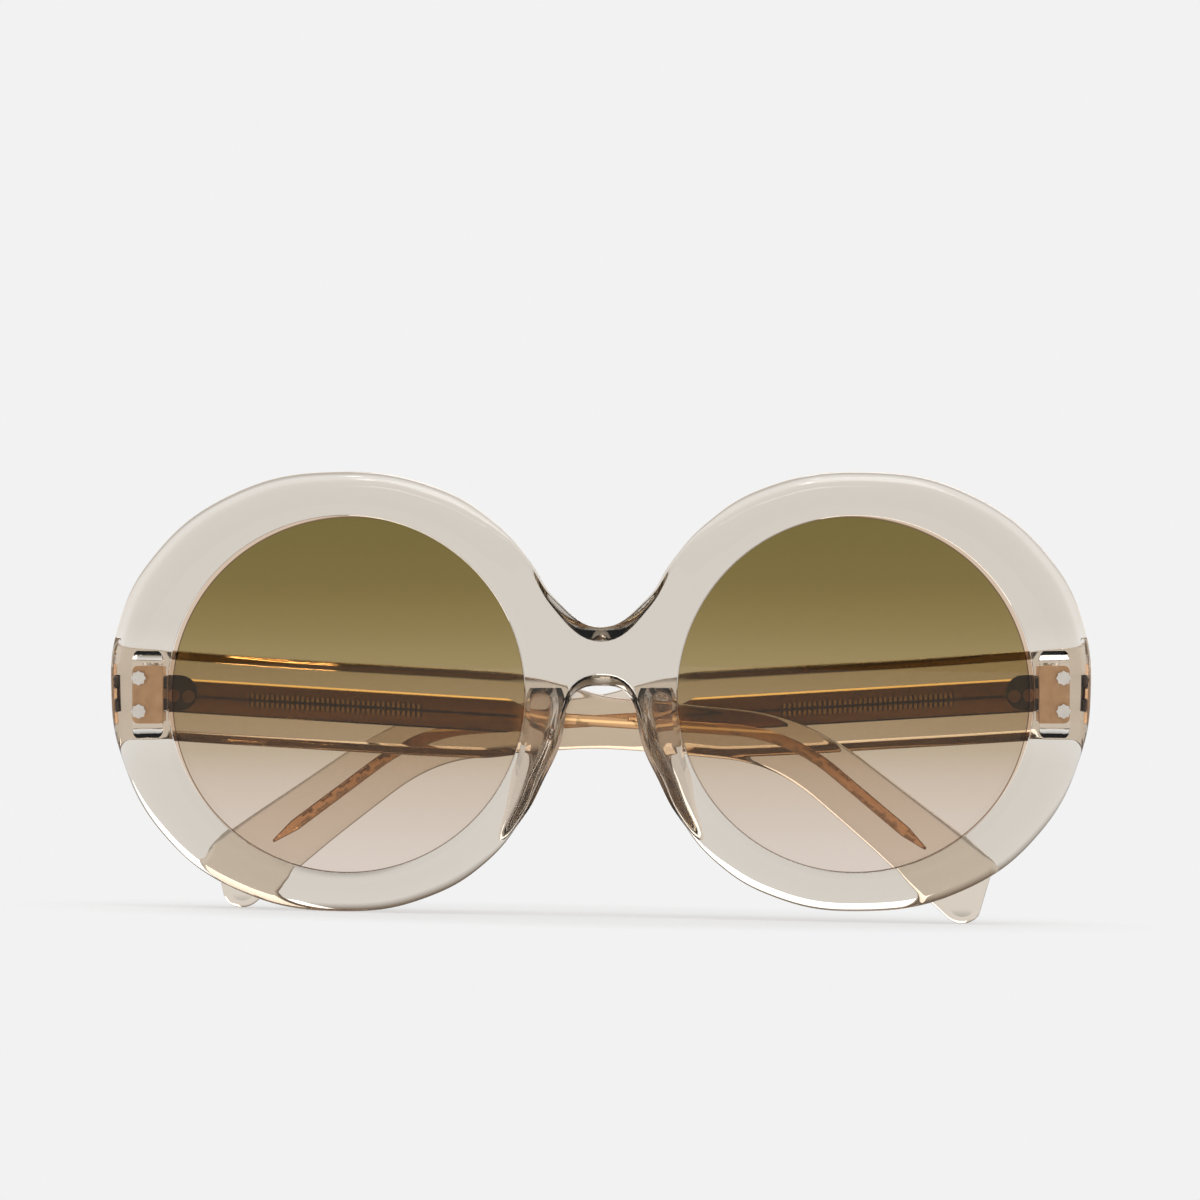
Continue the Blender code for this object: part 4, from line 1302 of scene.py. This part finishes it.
        mesh.update()

    def at_hinge(self, tool: Mesh, side: Side, layout: Layout) -> Mesh:
        """Move a cutter from the right hinge's own frame to a hinge, square to the end of the front.

        Args:
            tool: The cutter.
            side: The hinge's side.
            layout: Where the glasses lie.

        Returns:
            The same cutter.
        """
        to_side(tool, side)
        place = Matrix.Translation((side.value * layout.hinge_x, layout.hinge_y, layout.hinge_up))
        tool.transform(place @ Matrix.Rotation(side.value * math.atan(self.wrap_slope), 4, "Z"))
        return tool

    def notch_tool(self) -> Mesh:
        """Make the cutter of the sloping notch at the end, where an opened temple's end comes to rest.

        Returns:
            The cutter, in the right hinge's frame.
        """
        tool = block((self.notch_start, self.seat, -self.notch_half), (*self.notch_reach, self.notch_half))

        def sloped(point: Vector) -> Vector:
            """Let the floor run deeper outward."""
            deeper = (point.x - self.notch_start) * self.notch_slope if point.y < 0 else 0.0
            return Vector((point.x, point.y - deeper, point.z))

        reshape(tool, sloped)
        return tool

    def pocket_tool(self) -> Mesh:
        """Make the cutter of the pocket for a hinge's block, whose floor curves up at both ends.

        Returns:
            The cutter, in the right hinge's frame.
        """
        radius = self.pocket_corner
        half_width, half_height = self.pocket_width / 2, self.pocket_height / 2
        middle = half_width - self.block_inner
        outline: list[Point] = []
        for number, (across, up) in enumerate(((1, 1), (-1, 1), (-1, -1), (1, -1))):
            centre = (middle + across * (half_width - radius), up * (half_height - radius))
            start = math.pi / 2 * number
            outline += arc(centre, radius, start, start + math.pi / 2, self.pocket_steps)

        def floor(points: np.ndarray, near: np.ndarray, far: np.ndarray) -> np.ndarray:
            """The pocket's floor, as a round cutter leaves it."""
            return self.seat - self.pocket_depth + roll(half_height - np.abs(points[:, 1]), self.pocket_roll)

        def top(points: np.ndarray, near: np.ndarray, far: np.ndarray) -> np.ndarray:
            """A flat top, clear of the seat."""
            return np.full(len(near), -self.pocket_above)

        loop = even_loop(outline, self.pocket_spacing)
        return Slab(loop, [], floor, top, self.pocket_rings, self.pocket_net).mesh("pocket_tool")

    def build(self, layout: Layout, finish: ClearAcetate) -> None:
        """Build and dress the front.

        Args:
            layout: Where the glasses lie.
            finish: The acetate.
        """
        outline = self.outline()
        middles = [(side.value * self.eye_x, 0.0) for side in Side]
        eyes = [np.array(circle(middle, self.opening_radius, self.eye_steps)) for middle in middles]
        low, high = self.thickness / 2 - self.groove_half, self.thickness / 2 + self.groove_half
        slant = self.groove_depth / 2
        walls = ((0.0, low), (self.groove_depth, low + slant), (self.groove_depth, high - slant), (0.0, high))
        slab = Slab(outline, eyes, self.front_face, self.back_face, self.rings, self.net_spacing, walls)
        mesh = slab.mesh("front_shell")
        self.bend(mesh, outline)
        makers = (self.notch_tool, self.pocket_tool)
        mesh = cut(mesh, [self.at_hinge(make(), side, layout) for make in makers for side in Side])
        add_piece(
            "front_shell", mesh, layout.glasses, finish.material(),
            "front", "front_frame", self.crease
        )


@dataclass
class Lens:
    """A lens: part of a hollow sphere with a pointed edge in the rim's groove."""

    side: Side
    front: Front
    radius: float = 26.47 * MM
    thickness: float = 2.0 * MM
    curve_radius: float = 175.0 * MM
    edge_slope: float = 20.0
    crease: float = 25.0
    arc_steps: int = 20
    ring_steps: int = 160

    def profile(self) -> list[Point]:
        """Draw the section from the middle of the front face round to that of the back face.

        Returns:
            Radius and depth of each point.
        """
        half = self.thickness / 2
        shoulder = self.radius - half / self.edge_slope
        rise = self.curve_radius - math.sqrt(self.curve_radius**2 - shoulder**2)
        spread = math.asin(shoulder / self.curve_radius)
        angles = [spread * i / self.arc_steps for i in range(self.arc_steps + 1)]
        base = half - (self.curve_radius - rise)
        dome = [(self.curve_radius * math.sin(a), -base - self.curve_radius * math.cos(a)) for a in angles]
        back = [(radius, depth + self.thickness) for radius, depth in reversed(dome)]
        dome[0] = (0.0, dome[0][1])
        back[-1] = (0.0, back[-1][1])
        return dome + [(self.radius, 0.0)] + back

    def build(self, layout: Layout, finish: GraduatedTint) -> None:
        """Build and dress the lens.

        Args:
            layout: Where the glasses lie.
            finish: The lens tint.
        """
        front, sign, word = self.front, self.side.value, self.side.word
        mesh = turned("lens_glass", self.profile(), self.ring_steps)
        place = Matrix.Translation((sign * front.eye_x, float(front.wrap(front.eye_x)), 0.0))
        tilt = Matrix.Rotation(sign * math.atan(front.wrap_slope), 4, "Z")
        inset = Matrix.Translation((0.0, front.thickness / 2, 0.0))
        add_piece(
            "lens_glass_" + word, mesh, layout.glasses @ place @ tilt @ inset, finish.material(self.side),
            "front", "lens_" + word, self.crease
        )


@dataclass
class NosePad:
    """A nose pad: a pinched saddle that tapers to a point down the inner edge of the rim."""

    side: Side
    front: Front
    top: float = 0.9 * MM
    bottom: float = -22.4 * MM
    depth: float = 5.4 * MM
    width: float = 5.0 * MM
    lean: float = math.tan(math.radians(16))
    bite: float = 0.05 * MM
    roundness: float = 0.7
    crease: float = 45.0
    sections: int = 44
    ring_steps: int = 36
    shape: tuple[tuple[float, float, float, float], ...] = (
        (0.0, 0.80, 0.55, 0.42), (0.04, 0.94, 0.72, 0.42), (0.12, 1.0, 0.88, 0.40),
        (0.28, 0.97, 1.0, 0.35), (0.48, 0.86, 1.0, 0.27), (0.68, 0.68, 0.84, 0.20),
        (0.86, 0.42, 0.56, 0.12), (1.0, 0.12, 0.22, 0.06),
    )

    def rim_edges(self, z: float) -> Point:
        """Find the rim's two edges at a height.

        Args:
            z: The height.

        Returns:
            How far out the nose side and the lens opening's edge lie.
        """
        front = self.front
        rows = [(down, across) for across, down in ((0.0, 0.0),) + tuple(reversed(front.nose_side))]
        down = (front.arch_top - z) / (front.arch_top + front.rim_bottom)
        nose = smooth_row(rows, max(down, 0.0))[0] * front.eye_x
        return nose, front.eye_x - math.sqrt(front.opening_radius**2 - z * z)

    def mesh(self) -> Mesh:
        """Loft the pad from half-round sections.

        Returns:
            The mesh.
        """
        front = self.front
        seat = front.thickness * math.hypot(1.0, front.wrap_slope) - self.bite
        corners: list[Size] = []
        for number in range(self.sections):
            down = number / (self.sections - 1)
            width, depth, middle = smooth_row(self.shape, down)
            z = self.top + down * (self.bottom - self.top)
            nose, opening = self.rim_edges(z)
            nose = max(nose, front.eye_x * front.nose_side[-2][0])
            centre = nose + middle * (opening - nose)
            half = width * self.width / 2
            for step in range(self.ring_steps + 1):
                angle = math.pi * step / self.ring_steps
                out = math.sin(angle) ** self.roundness * depth * self.depth
                across = centre - half * math.cos(angle) + out * self.lean
                corners.append((across, seat + float(front.wrap(across)) + out, z))
        count = self.ring_steps + 1
        rows = [range(row * count, (row + 1) * count) for row in range(self.sections)]
        faces = [tuple(rows[0]), tuple(reversed(rows[-1]))]
        for first, second in zip(rows, rows[1:]):
            faces += band(first, second)
        return closed_mesh("nose_pad_soft", corners, faces)

    def build(self, layout: Layout, finish: ClearAcetate) -> None:
        """Build and dress the pad.

        Args:
            layout: Where the glasses lie.
            finish: The pad's acetate.
        """
        mesh, word = to_side(self.mesh(), self.side), self.side.word
        add_piece(
            "pad_" + word, mesh, layout.glasses, finish.material(),
            "front", "nose_pad_" + word, self.crease
        )


# The temples.


@dataclass
class Temple:
    """A temple: a clear acetate arm with a bend for the ear and a metal core inside."""

    side: Side
    ear_drop: float
    run: float = 85.1 * MM
    bend_radius: float = 26.0 * MM
    tail: float = 28.9 * MM
    drop: float = 0.2 * MM
    height: float = 13.0 * MM
    thickness: float = 3.8 * MM
    tail_thickness: float = 3.2 * MM
    offset: float = 2.0 * MM
    lead: float = 3.4 * MM
    slope: float = math.radians(3.44)
    mitre_slope: float = WRAP_SLOPE
    upper_radius: float = 1.8 * MM
    lower_radius: float = 3.2 * MM
    slant: float = 1.3 * MM
    edge_roll: float = 0.6 * MM
    bevel_depth: float = 1.7 * MM
    bevel_width: float = 1.5 * MM
    bevel_start: float = 0.8 * MM
    bevel_rise: float = 1.6 * MM
    end_roll: float = 0.15 * MM
    bevel_end: float = 50.0 * MM
    bevel_fade: float = 12.0 * MM
    station_count: int = 90
    corner_steps: int = 14
    outline_spacing: float = 0.8 * MM
    net_spacing: float = 1.5 * MM
    rings: tuple[float, ...] = (0.08 * MM, 0.26 * MM, 0.55 * MM, 0.95 * MM, 1.4 * MM, 1.6 * MM)
    core_rings: tuple[float, ...] = (0.05 * MM, 0.16 * MM)
    core_start: float = 1.5 * MM
    core_strip: float = 52.2 * MM
    core_taper: float = 4.0 * MM
    core_length: float = 119.5 * MM
    core_point: float = 4.0 * MM
    core_strip_half: float = 2.5 * MM
    core_wire_half: float = 0.85 * MM
    core_thickness: float = 0.9 * MM
    core_inset: float = 1.3 * MM
    core_edge: float = 0.42 * MM
    core_tip_share: float = 0.25
    core_stations: int = 30
    core_spacing: float = 0.4 * MM
    core_net: float = 0.8 * MM
    crease: float = 38.0
    shape: tuple[Size, ...] = (
        (0.0, 0.504, 0.515), (0.155, 0.485, 0.515), (0.371, 0.492, 0.496), (0.417, 0.475, 0.425),
        (0.464, 0.385, 0.350), (0.510, 0.288, 0.308), (0.587, 0.254, 0.315), (0.665, 0.235, 0.340),
        (0.750, 0.270, 0.368), (0.790, 0.308, 0.370), (0.865, 0.346, 0.385), (0.925, 0.377, 0.415),
        (1.0, 0.400, 0.440),
    )

    @classmethod
    def slope_share(cls) -> float:
        """How far the straight run falls for each step back."""
        return math.tan(cls.slope)

    @property
    def length(self) -> float:
        """Length of the middle line from the hinge axis to the tip."""
        return self.run + self.bend_radius * (self.ear_drop - self.slope) + self.tail

    def line(self, distance: float) -> Size:
        """Find a place on the middle line.

        Args:
            distance: How far along the line it lies.

        Returns:
            Back, up, and the line's downward heading.
        """
        if distance <= self.run:
            return distance * math.cos(self.slope), -self.drop - distance * math.sin(self.slope), self.slope
        heading = min(self.slope + (distance - self.run) / self.bend_radius, self.ear_drop)
        back = self.run * math.cos(self.slope) + self.bend_radius * (math.sin(heading) - math.sin(self.slope))
        fall = self.bend_radius * (math.cos(self.slope) - math.cos(heading))
        up = -self.drop - self.run * math.sin(self.slope) - fall
        rest = distance - self.run - self.bend_radius * (heading - self.slope)
        return back + rest * math.cos(heading), up - rest * math.sin(heading), heading

    def off_line(self, distance: float, reach: float) -> Point:
        """A point above or below the middle line, square to it."""
        back, up, heading = self.line(distance)
        return back + reach * math.sin(heading), up + reach * math.cos(heading)

    def tip_corner(self, upper: bool) -> list[Point]:
        """Draw a rounded corner at the tip.

        Args:
            upper: Whether it is the upper one.

        Returns:
            The points from the edge round to the end.
        """
        radius = self.upper_radius if upper else self.lower_radius
        length = self.length + (-self.slant if upper else self.slant)
        reach = self.shape[-1][1 if upper else 2] * self.height - radius
        centre = self.off_line(length - radius, reach if upper else -reach)
        heading = self.line(length)[2]
        start = math.pi / 2 - heading if upper else -heading
        return arc(centre, radius, start, start - math.pi / 2, self.corner_steps)

    def outline(self) -> Loop:
        """Draw the temple as seen from its side.

        Returns:
            The outline, back and up from the hinge axis.
        """
        upper = [(-self.lead, self.shape[0][1] * self.height)]
        lower = [(-self.lead, -self.shape[0][2] * self.height)]
        for share in np.linspace(0.0, 1.0, self.station_count):
            if share * self.length > self.length - self.slant - self.lower_radius:
                break
            above, below = smooth_row(self.shape, float(share))
            upper.append(self.off_line(share * self.length, above * self.height))
            lower.append(self.off_line(share * self.length, -below * self.height))
        corners = self.tip_corner(True) + self.tip_corner(False)
        return even_loop(upper + corners + list(reversed(lower)), self.outline_spacing)

    def core_outline(self) -> Loop:
        """Draw the core as seen from its side: a strip that narrows to a wire with a point.

        Returns:
            The outline, back and up from the hinge axis.
        """
        strip, wire = self.core_strip_half, self.core_wire_half
        taper_end = self.core_strip + self.core_taper
        point = self.core_length - self.core_point
        stations = [(self.core_start, strip), (self.core_strip, strip), (taper_end, wire)]
        stations += [(d, wire) for d in np.linspace(taper_end, point, self.core_stations)[1:]]
        stations += [(self.core_length, self.core_tip_share * wire)]
        upper = [self.off_line(d, half) for d, half in stations]
        lower = [self.off_line(d, -half) for d, half in stations]
        return even_loop(upper + list(reversed(lower)), self.core_spacing)

    def place(self, mesh: Mesh, inner: float) -> Mesh:
        """Turn a side view into a piece beside the hinge axis, and thin it towards the tip.

        Args:
            mesh: The piece, drawn in X and Z with its thickness along Y.
            inner: How far outboard of the axis its inner face lies.

        Returns:
            The same mesh, on its side.
        """
        mesh.transform(Matrix((
            (0.0, 1.0, 0.0, inner),
            (1.0, 0.0, 0.0, 0.0),
            (0.0, 0.0, 1.0, 0.0),
            (0.0, 0.0, 0.0, 1.0),
        )))
        mesh.flip_normals()
        end = self.line(self.length)[0]

        def rule(point: Vector) -> Vector:
            """Thin the outer face, and mitre the end to the front's slant.

            Args:
                point: A point of the piece.

            Returns:
                Where it goes.
            """
            x, y, z = point
            thinning = (1 - self.tail_thickness / self.thickness) * y / end
            x = self.offset + (x - self.offset) * (1 - thinning)
            y += x * self.mitre_slope * max(-y / self.lead, 0.0)
            return Vector((x, y, z))

        reshape(mesh, rule)
        return to_side(mesh, self.side)

    def inner_face(self, points: np.ndarray, from_edge: np.ndarray, from_hole: np.ndarray) -> np.ndarray:
        """The inner face's depth, rounded at the edges."""
        return roll(from_edge, self.rounding(points))

    def outer_face(self, points: np.ndarray, from_edge: np.ndarray, from_hole: np.ndarray) -> np.ndarray:
        """The outer face's depth: bevelled along the edges as far as the narrow stretch, then rounded.

        Args:
            points: Places on the face.
            from_edge: Their distance from the outline.
            from_hole: Not used; the temple has no hole.

        Returns:
            The depths.
        """
        bevelled = 1 - smooth_step((points[:, 0] - self.bevel_end) / self.bevel_fade)
        bevelled = bevelled * smooth_step((points[:, 0] - self.bevel_start) / self.bevel_rise)
        fall = bevelled * self.bevel_depth * np.clip(1 - from_edge / self.bevel_width, 0.0, 1.0)
        return self.thickness - fall - (1 - bevelled) * roll(from_edge, self.rounding(points))

    def rounding(self, points: np.ndarray) -> np.ndarray:
        """The edges' rounding, which is slight at the hinge."""
        return self.end_roll + (self.edge_roll - self.end_roll) * smooth_step(points[:, 0] / self.bend_radius)

    def build(self, layout: Layout, acetate: ClearAcetate, core: CoreMetal) -> None:
        """Build and dress the temple and its core.

        Args:
            layout: Where the glasses lie.
            acetate: The arm's finish.
            core: The core's finish.
        """
        word = self.side.word
        node = body = "temple_" + word
        hinge = layout.hinges[self.side]
        slab = Slab(self.outline(), [], self.inner_face, self.outer_face, self.rings, self.net_spacing)
        arm = self.place(slab.mesh("temple_arm"), self.offset)
        add_piece("temple_arm_" + word, arm, hinge, acetate.material(), body, node, self.crease)

        def inner_side(points: np.ndarray, near: np.ndarray, far: np.ndarray) -> np.ndarray:
            """The core's inner side, rounded at the edges."""
            return roll(near, self.core_edge)

        def outer_side(points: np.ndarray, near: np.ndarray, far: np.ndarray) -> np.ndarray:
            """The core's outer side, the same."""
            return self.core_thickness - roll(near, self.core_edge)

        slab = Slab(self.core_outline(), [], inner_side, outer_side, self.core_rings, self.core_net)
        strip = self.place(slab.mesh("core_strip"), self.offset + self.core_inset)
        add_piece(
            "core_strip_" + word, strip, hinge, core.material(),
            body, "core_wire_" + word, self.crease
        )


@dataclass
class SmallMetal:
    """The hinges' leaves, studs, screws and rivets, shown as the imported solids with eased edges."""

    finishes: dict[str, Metal]
    edge: float = 0.12 * MM
    stud_edge: float = 0.03 * MM
    steps: int = 2
    crease: float = 40.0

    def dress(self, nodes: dict[str, bpy.types.Object]) -> None:
        """Ease the edges of each node and give it its finish.

        Args:
            nodes: The CAD nodes by name.
        """
        made = {start: finish.material() for start, finish in self.finishes.items()}
        for name, node in sorted(nodes.items()):
            for start, material in made.items():
                if name.startswith(start):
                    bevel = node.modifiers.new("eased_edge", "BEVEL")
                    bevel.width = self.stud_edge if start == "hinge_stud" else self.edge
                    bevel.segments = self.steps
                    bevel.limit_method = "ANGLE"
                    bevel.angle_limit = math.radians(self.crease)
                    bevel.harden_normals = False
                    dress(node, material)
                    LOG.info("piece %s keeps its solid", name)


# The studio.


@dataclass(frozen=True)
class Spot:
    """A bright patch of the surround: its direction, half its size along each axis, and its strength."""

    centre: Size
    size: Size
    strength: float


@dataclass
class Studio:
    """A pale studio: floor, soft lamps, an even surround and the camera."""

    pale: float = 0.888
    seen_through: Curve = ((0.0, 0.40), (0.40, 0.40), (0.46, 0.888), (0.60, 0.888), (0.77, 0.26), (1.0, 0.14))
    turned_away: Curve = ((0.0, 0.85), (0.20, 0.70), (0.40, 0.30), (0.54, 0.26), (0.70, 1.0), (1.0, 1.0))
    mirrored: Curve = (
        (0.0, 0.02), (0.06, 0.04), (0.16, 0.33), (0.30, 0.9), (0.50, 0.9), (0.70, 0.5), (1.0, 0.38)
    )
    mirrored_strength: float = 2.4
    glints: tuple[Spot, ...] = (
        Spot((-0.085, -0.43, 0.90), (0.035, 0.10, 0.10), 9.0),
        Spot((-0.09, 0.05, 0.99), (0.035, 0.10, 0.10), 6.0),
        Spot((0.0, -0.92, 0.39), (0.22, 0.03, 0.03), 3.0),
    )
    overhead: Spot = Spot((0.0, 0.1, 0.95), (0.16, 0.9, 0.4), 0.35)
    underneath: Spot = Spot((0.0, 0.0, -1.0), (0.48, 0.48, 0.48), 105.0)
    spot_fade: Point = (0.5, 1.2)
    warmth: float = 0.75
    around: float = 0.80
    floor_colour: float = 0.80
    floor_reach: float = 3.0
    floor_thickness: float = 0.02
    shaded: float = 0.55
    shade_reach: Point = (0.05, 0.095)
    near_floor: float = 0.40
    dark_reach: Point = (0.045, 0.120)
    glossy_dimming: float = 0.55
    window: Spot = Spot((-0.0525, 0.0, 0.0), (0.0115, 0.019, 1.0), 1.0)
    window_fade: Point = (0.6, 1.0)
    lamp_aim: Size = (0.0, 0.0, 0.03)
    view_width: float = 176.4 * MM
    view_distance: float = 6.0
    view_depth: Point = (0.05, 50.0)
    sensor: float = 36.0
    elevation: float = math.radians(2.0)
    aim_x: float = -0.147 * MM
    aim_z: float = 13.97 * MM

    def surround(self) -> None:
        """Make a world that is pale behind clear pieces, darker overhead, and darker in front for metal."""
        world = bpy.data.worlds.new("surround")
        bpy.context.scene.world = world
        nodes = Nodes(world, "ShaderNodeOutputWorld")
        way = nodes.place("Generated")
        beside = nodes.part(way, "Y")
        above = self._greys(nodes, nodes.part(way, "Z"), self.seen_through)
        seen = nodes.vector("MULTIPLY", above, self._greys(nodes, beside, self.turned_away))
        seen = self._with_spots(nodes, way, seen, (self.overhead, self.underneath))
        lit = nodes.add("ShaderNodeVectorMath", {
            "Vector": self._greys(nodes, beside, self.mirrored), "Scale": self.mirrored_strength
        }, operation="SCALE")
        mirrored = self._with_spots(nodes, way, lit.outputs["Vector"], self.glints)
        colour = nodes.blend(nodes.ray("Is Glossy Ray"), grey(self.around), mirrored)
        colour = nodes.blend(nodes.ray("Is Transmission Ray"), colour, seen)
        colour = nodes.blend(nodes.ray("Is Camera Ray"), colour, grey(self.pale))
        nodes.show(nodes.add("ShaderNodeBackground", {"Color": colour}).outputs["Background"])

    def _with_spots(self, nodes: Nodes, way: Socket, plain: Socket, spots: Sequence[Spot]) -> Socket:
        """Add bright patches of the studio, which only some kinds of rays see.

        Args:
            nodes: The world's nodes.
            way: The direction looked in.
            plain: The grey without the patches.
            spots: The patches.

        Returns:
            The grey with them.
        """
        for spot in spots:
            bright = nodes.reach(nodes.spot(way, spot.centre, spot.size), *self.spot_fade, spot.strength, 0.0)
            plain = nodes.vector("ADD", plain, bright)
        return plain

    def _greys(self, nodes: Nodes, part: Socket, stops: Curve) -> Socket:
        """A grey that changes with one part of a direction, warmer where it is darker.

        Args:
            nodes: The world's nodes.
            part: The direction's part, from -1 to 1.
            stops: Places from 0 to 1, and the greys there.

        Returns:
            The grey.
        """
        colours = []
        for place, value in stops:
            warm = self.warmth * (1 - value) ** 2
            colours.append((place, (value, value * (1 - warm / 2), value * (1 - warm))))
        return nodes.ramp(part, 1.0, colours)

    def floor(self) -> None:
        """Lay a pale floor that keeps the shadow, with a spot that only rays from clear pieces pass."""
        reach = self.floor_reach
        ground = put("studio_floor", block((-reach, -reach, -self.floor_thickness), (reach, reach, 0.0)))
        nodes = Nodes(bpy.data.materials.new("pale_floor"))
        place = nodes.place()
        far = nodes.vector("LENGTH", place)
        glossy, passed = nodes.ray("Is Glossy Ray"), nodes.ray("Is Transmission Ray")
        lit = nodes.add("ShaderNodeBsdfDiffuse", {"Color": (*grey(self.floor_colour), 1.0)})
        backdrop = nodes.add("ShaderNodeEmission", {"Color": (*grey(self.pale), 1.0)})
        seen = nodes.maths("MAXIMUM", nodes.ray("Is Camera Ray"), glossy)
        share = nodes.maths("MULTIPLY", seen, nodes.reach(far, *self.shade_reach, self.shaded, 1.0))
        top = nodes.mixed(share, lit.outputs["BSDF"], backdrop.outputs["Emission"])
        # Painted shade: rays through clear pieces see the floor as an emission that darkens near the glasses.
        dimmed = nodes.reach(far, *self.dark_reach, self.near_floor, self.pale)
        dark = nodes.add("ShaderNodeEmission", {"Color": dimmed})
        off = nodes.spot(place, self.window.centre, self.window.size)
        opened = nodes.reach(off, *self.window_fade, self.window.strength, 0.0)
        way_through = nodes.add("ShaderNodeBsdfTransparent")
        below = nodes.mixed(opened, dark.outputs["Emission"], way_through.outputs["BSDF"])
        dimming = nodes.maths("MULTIPLY", glossy, nodes.reach(passed, 0.0, 1.0, self.glossy_dimming, 0.0))
        nodes.show(nodes.mixed(dimming, nodes.mixed(passed, top, below), None))
        nodes.owner.use_transparent_shadow = False
        dress(ground, nodes.owner)

    def lamp(self, name: str, place: Size, size: Point, power: float) -> None:
        """A soft lamp that faces the glasses and that the camera doesn't see.

        Args:
            name: The lamp's name.
            place: Where it stands.
            size: Its width and height.
            power: Its power in watts.
        """
        light = bpy.data.lights.new(name, "AREA")
        light.shape = "RECTANGLE"
        light.size, light.size_y = size
        light.energy = power
        lamp = put(name, light)
        lamp.location = place
        lamp.rotation_euler = (Vector(self.lamp_aim) - Vector(place)).to_track_quat("-Z", "Y").to_euler()
        lamp.visible_camera = False

    def camera(self, layout: Layout) -> None:
        """The camera at the photograph's angle, square to the front but a little from above.

        Args:
            layout: Where the glasses lie.
        """
        data = bpy.data.cameras.new("studio_camera")
        data.sensor_width = self.sensor
        data.lens = self.sensor * self.view_distance / self.view_width
        data.clip_start, data.clip_end = self.view_depth
        eye = put("studio_camera", data)
        back = self.view_distance * math.cos(self.elevation)
        up = self.view_distance * math.sin(self.elevation)
        look = Matrix.Rotation(math.radians(90) - self.elevation, 4, "X")
        eye.matrix_world = layout.glasses @ Matrix.Translation((self.aim_x, -back, self.aim_z + up)) @ look
        bpy.context.scene.camera = eye

    def build(self, layout: Layout) -> None:
        """Set the studio up.

        Args:
            layout: Where the glasses lie.
        """
        bpy.context.scene.view_settings.view_transform = "Standard"
        self.surround()
        self.floor()
        self.lamp("top_softbox", (0.15, -0.25, 0.75), (0.45, 0.45), 1.6)
        self.lamp("back_softbox", (0.2, 0.8, 0.4), (0.5, 0.4), 1.0)
        self.camera(layout)
        LOG.info("the studio is set")


def main() -> None:
    """Build the glasses in order and set the studio round them."""
    logging.basicConfig(level=logging.INFO, format="%(name)s: %(message)s")
    front = Front()
    layout = Layout.read(frame, front.hinge_y, front.hinge_up)
    acetate = ClearAcetate("champagne_acetate", (0.54, 0.42, 0.25), 125.0)
    amber = ClearAcetate("temple_acetate", (0.57, 0.375, 0.115), 165.0)
    pads = ClearAcetate("pad_acetate", (0.56, 0.34, 0.15), 72.0)
    tint = GraduatedTint("graduated_tint", front.opening_radius, (
        (0.0, (0.83, 0.73, 0.66)), (0.14, (0.76, 0.65, 0.555)), (0.26, (0.68, 0.56, 0.45)),
        (0.34, (0.58, 0.465, 0.33)), (0.50, (0.44, 0.34, 0.18)), (0.64, (0.347, 0.263, 0.11)),
        (0.75, (0.271, 0.205, 0.076)), (0.81, (0.250, 0.187, 0.068)), (0.975, (0.210, 0.168, 0.057)),
    ))
    gold = CoreMetal(
        "gold_core", (0.25, 0.095, 0.028), (0.95, 0.66, 0.26), (0.98, 0.62, 0.34),
        Temple.slope_share(), Temple.drop, Temple.core_strip_half, Temple.core_strip
    )
    front.build(layout, acetate)
    for side in Side:
        Lens(side, front).build(layout, tint)
        NosePad(side, front).build(layout, pads)
    for side, drop in ((Side.LEFT, math.radians(40.1)), (Side.RIGHT, math.radians(36.8))):
        Temple(side, drop).build(layout, amber, gold)
    SmallMetal({
        "front_hinge": Metal("copper_leaf", (0.95, 0.64, 0.39), (0.82, 0.51, 0.29), 0.46),
        "temple_hinge": Metal("dark_leaf", (0.085, 0.055, 0.04), (0.05, 0.035, 0.03), 0.36),
        "hinge_stud": Metal("bright_stud", (0.99, 0.97, 0.94), (0.80, 0.76, 0.72), 0.30),
        "hinge_screw": Metal("screw_steel", (0.76, 0.70, 0.62), (0.55, 0.48, 0.40), 0.26),
        "temple_rivet": Metal("rivet_copper", (0.38, 0.23, 0.14), (0.24, 0.14, 0.09), 0.30),
    }).dress(frame["nodes"])
    Studio().build(layout)


if __name__ == "__main__":
    main()
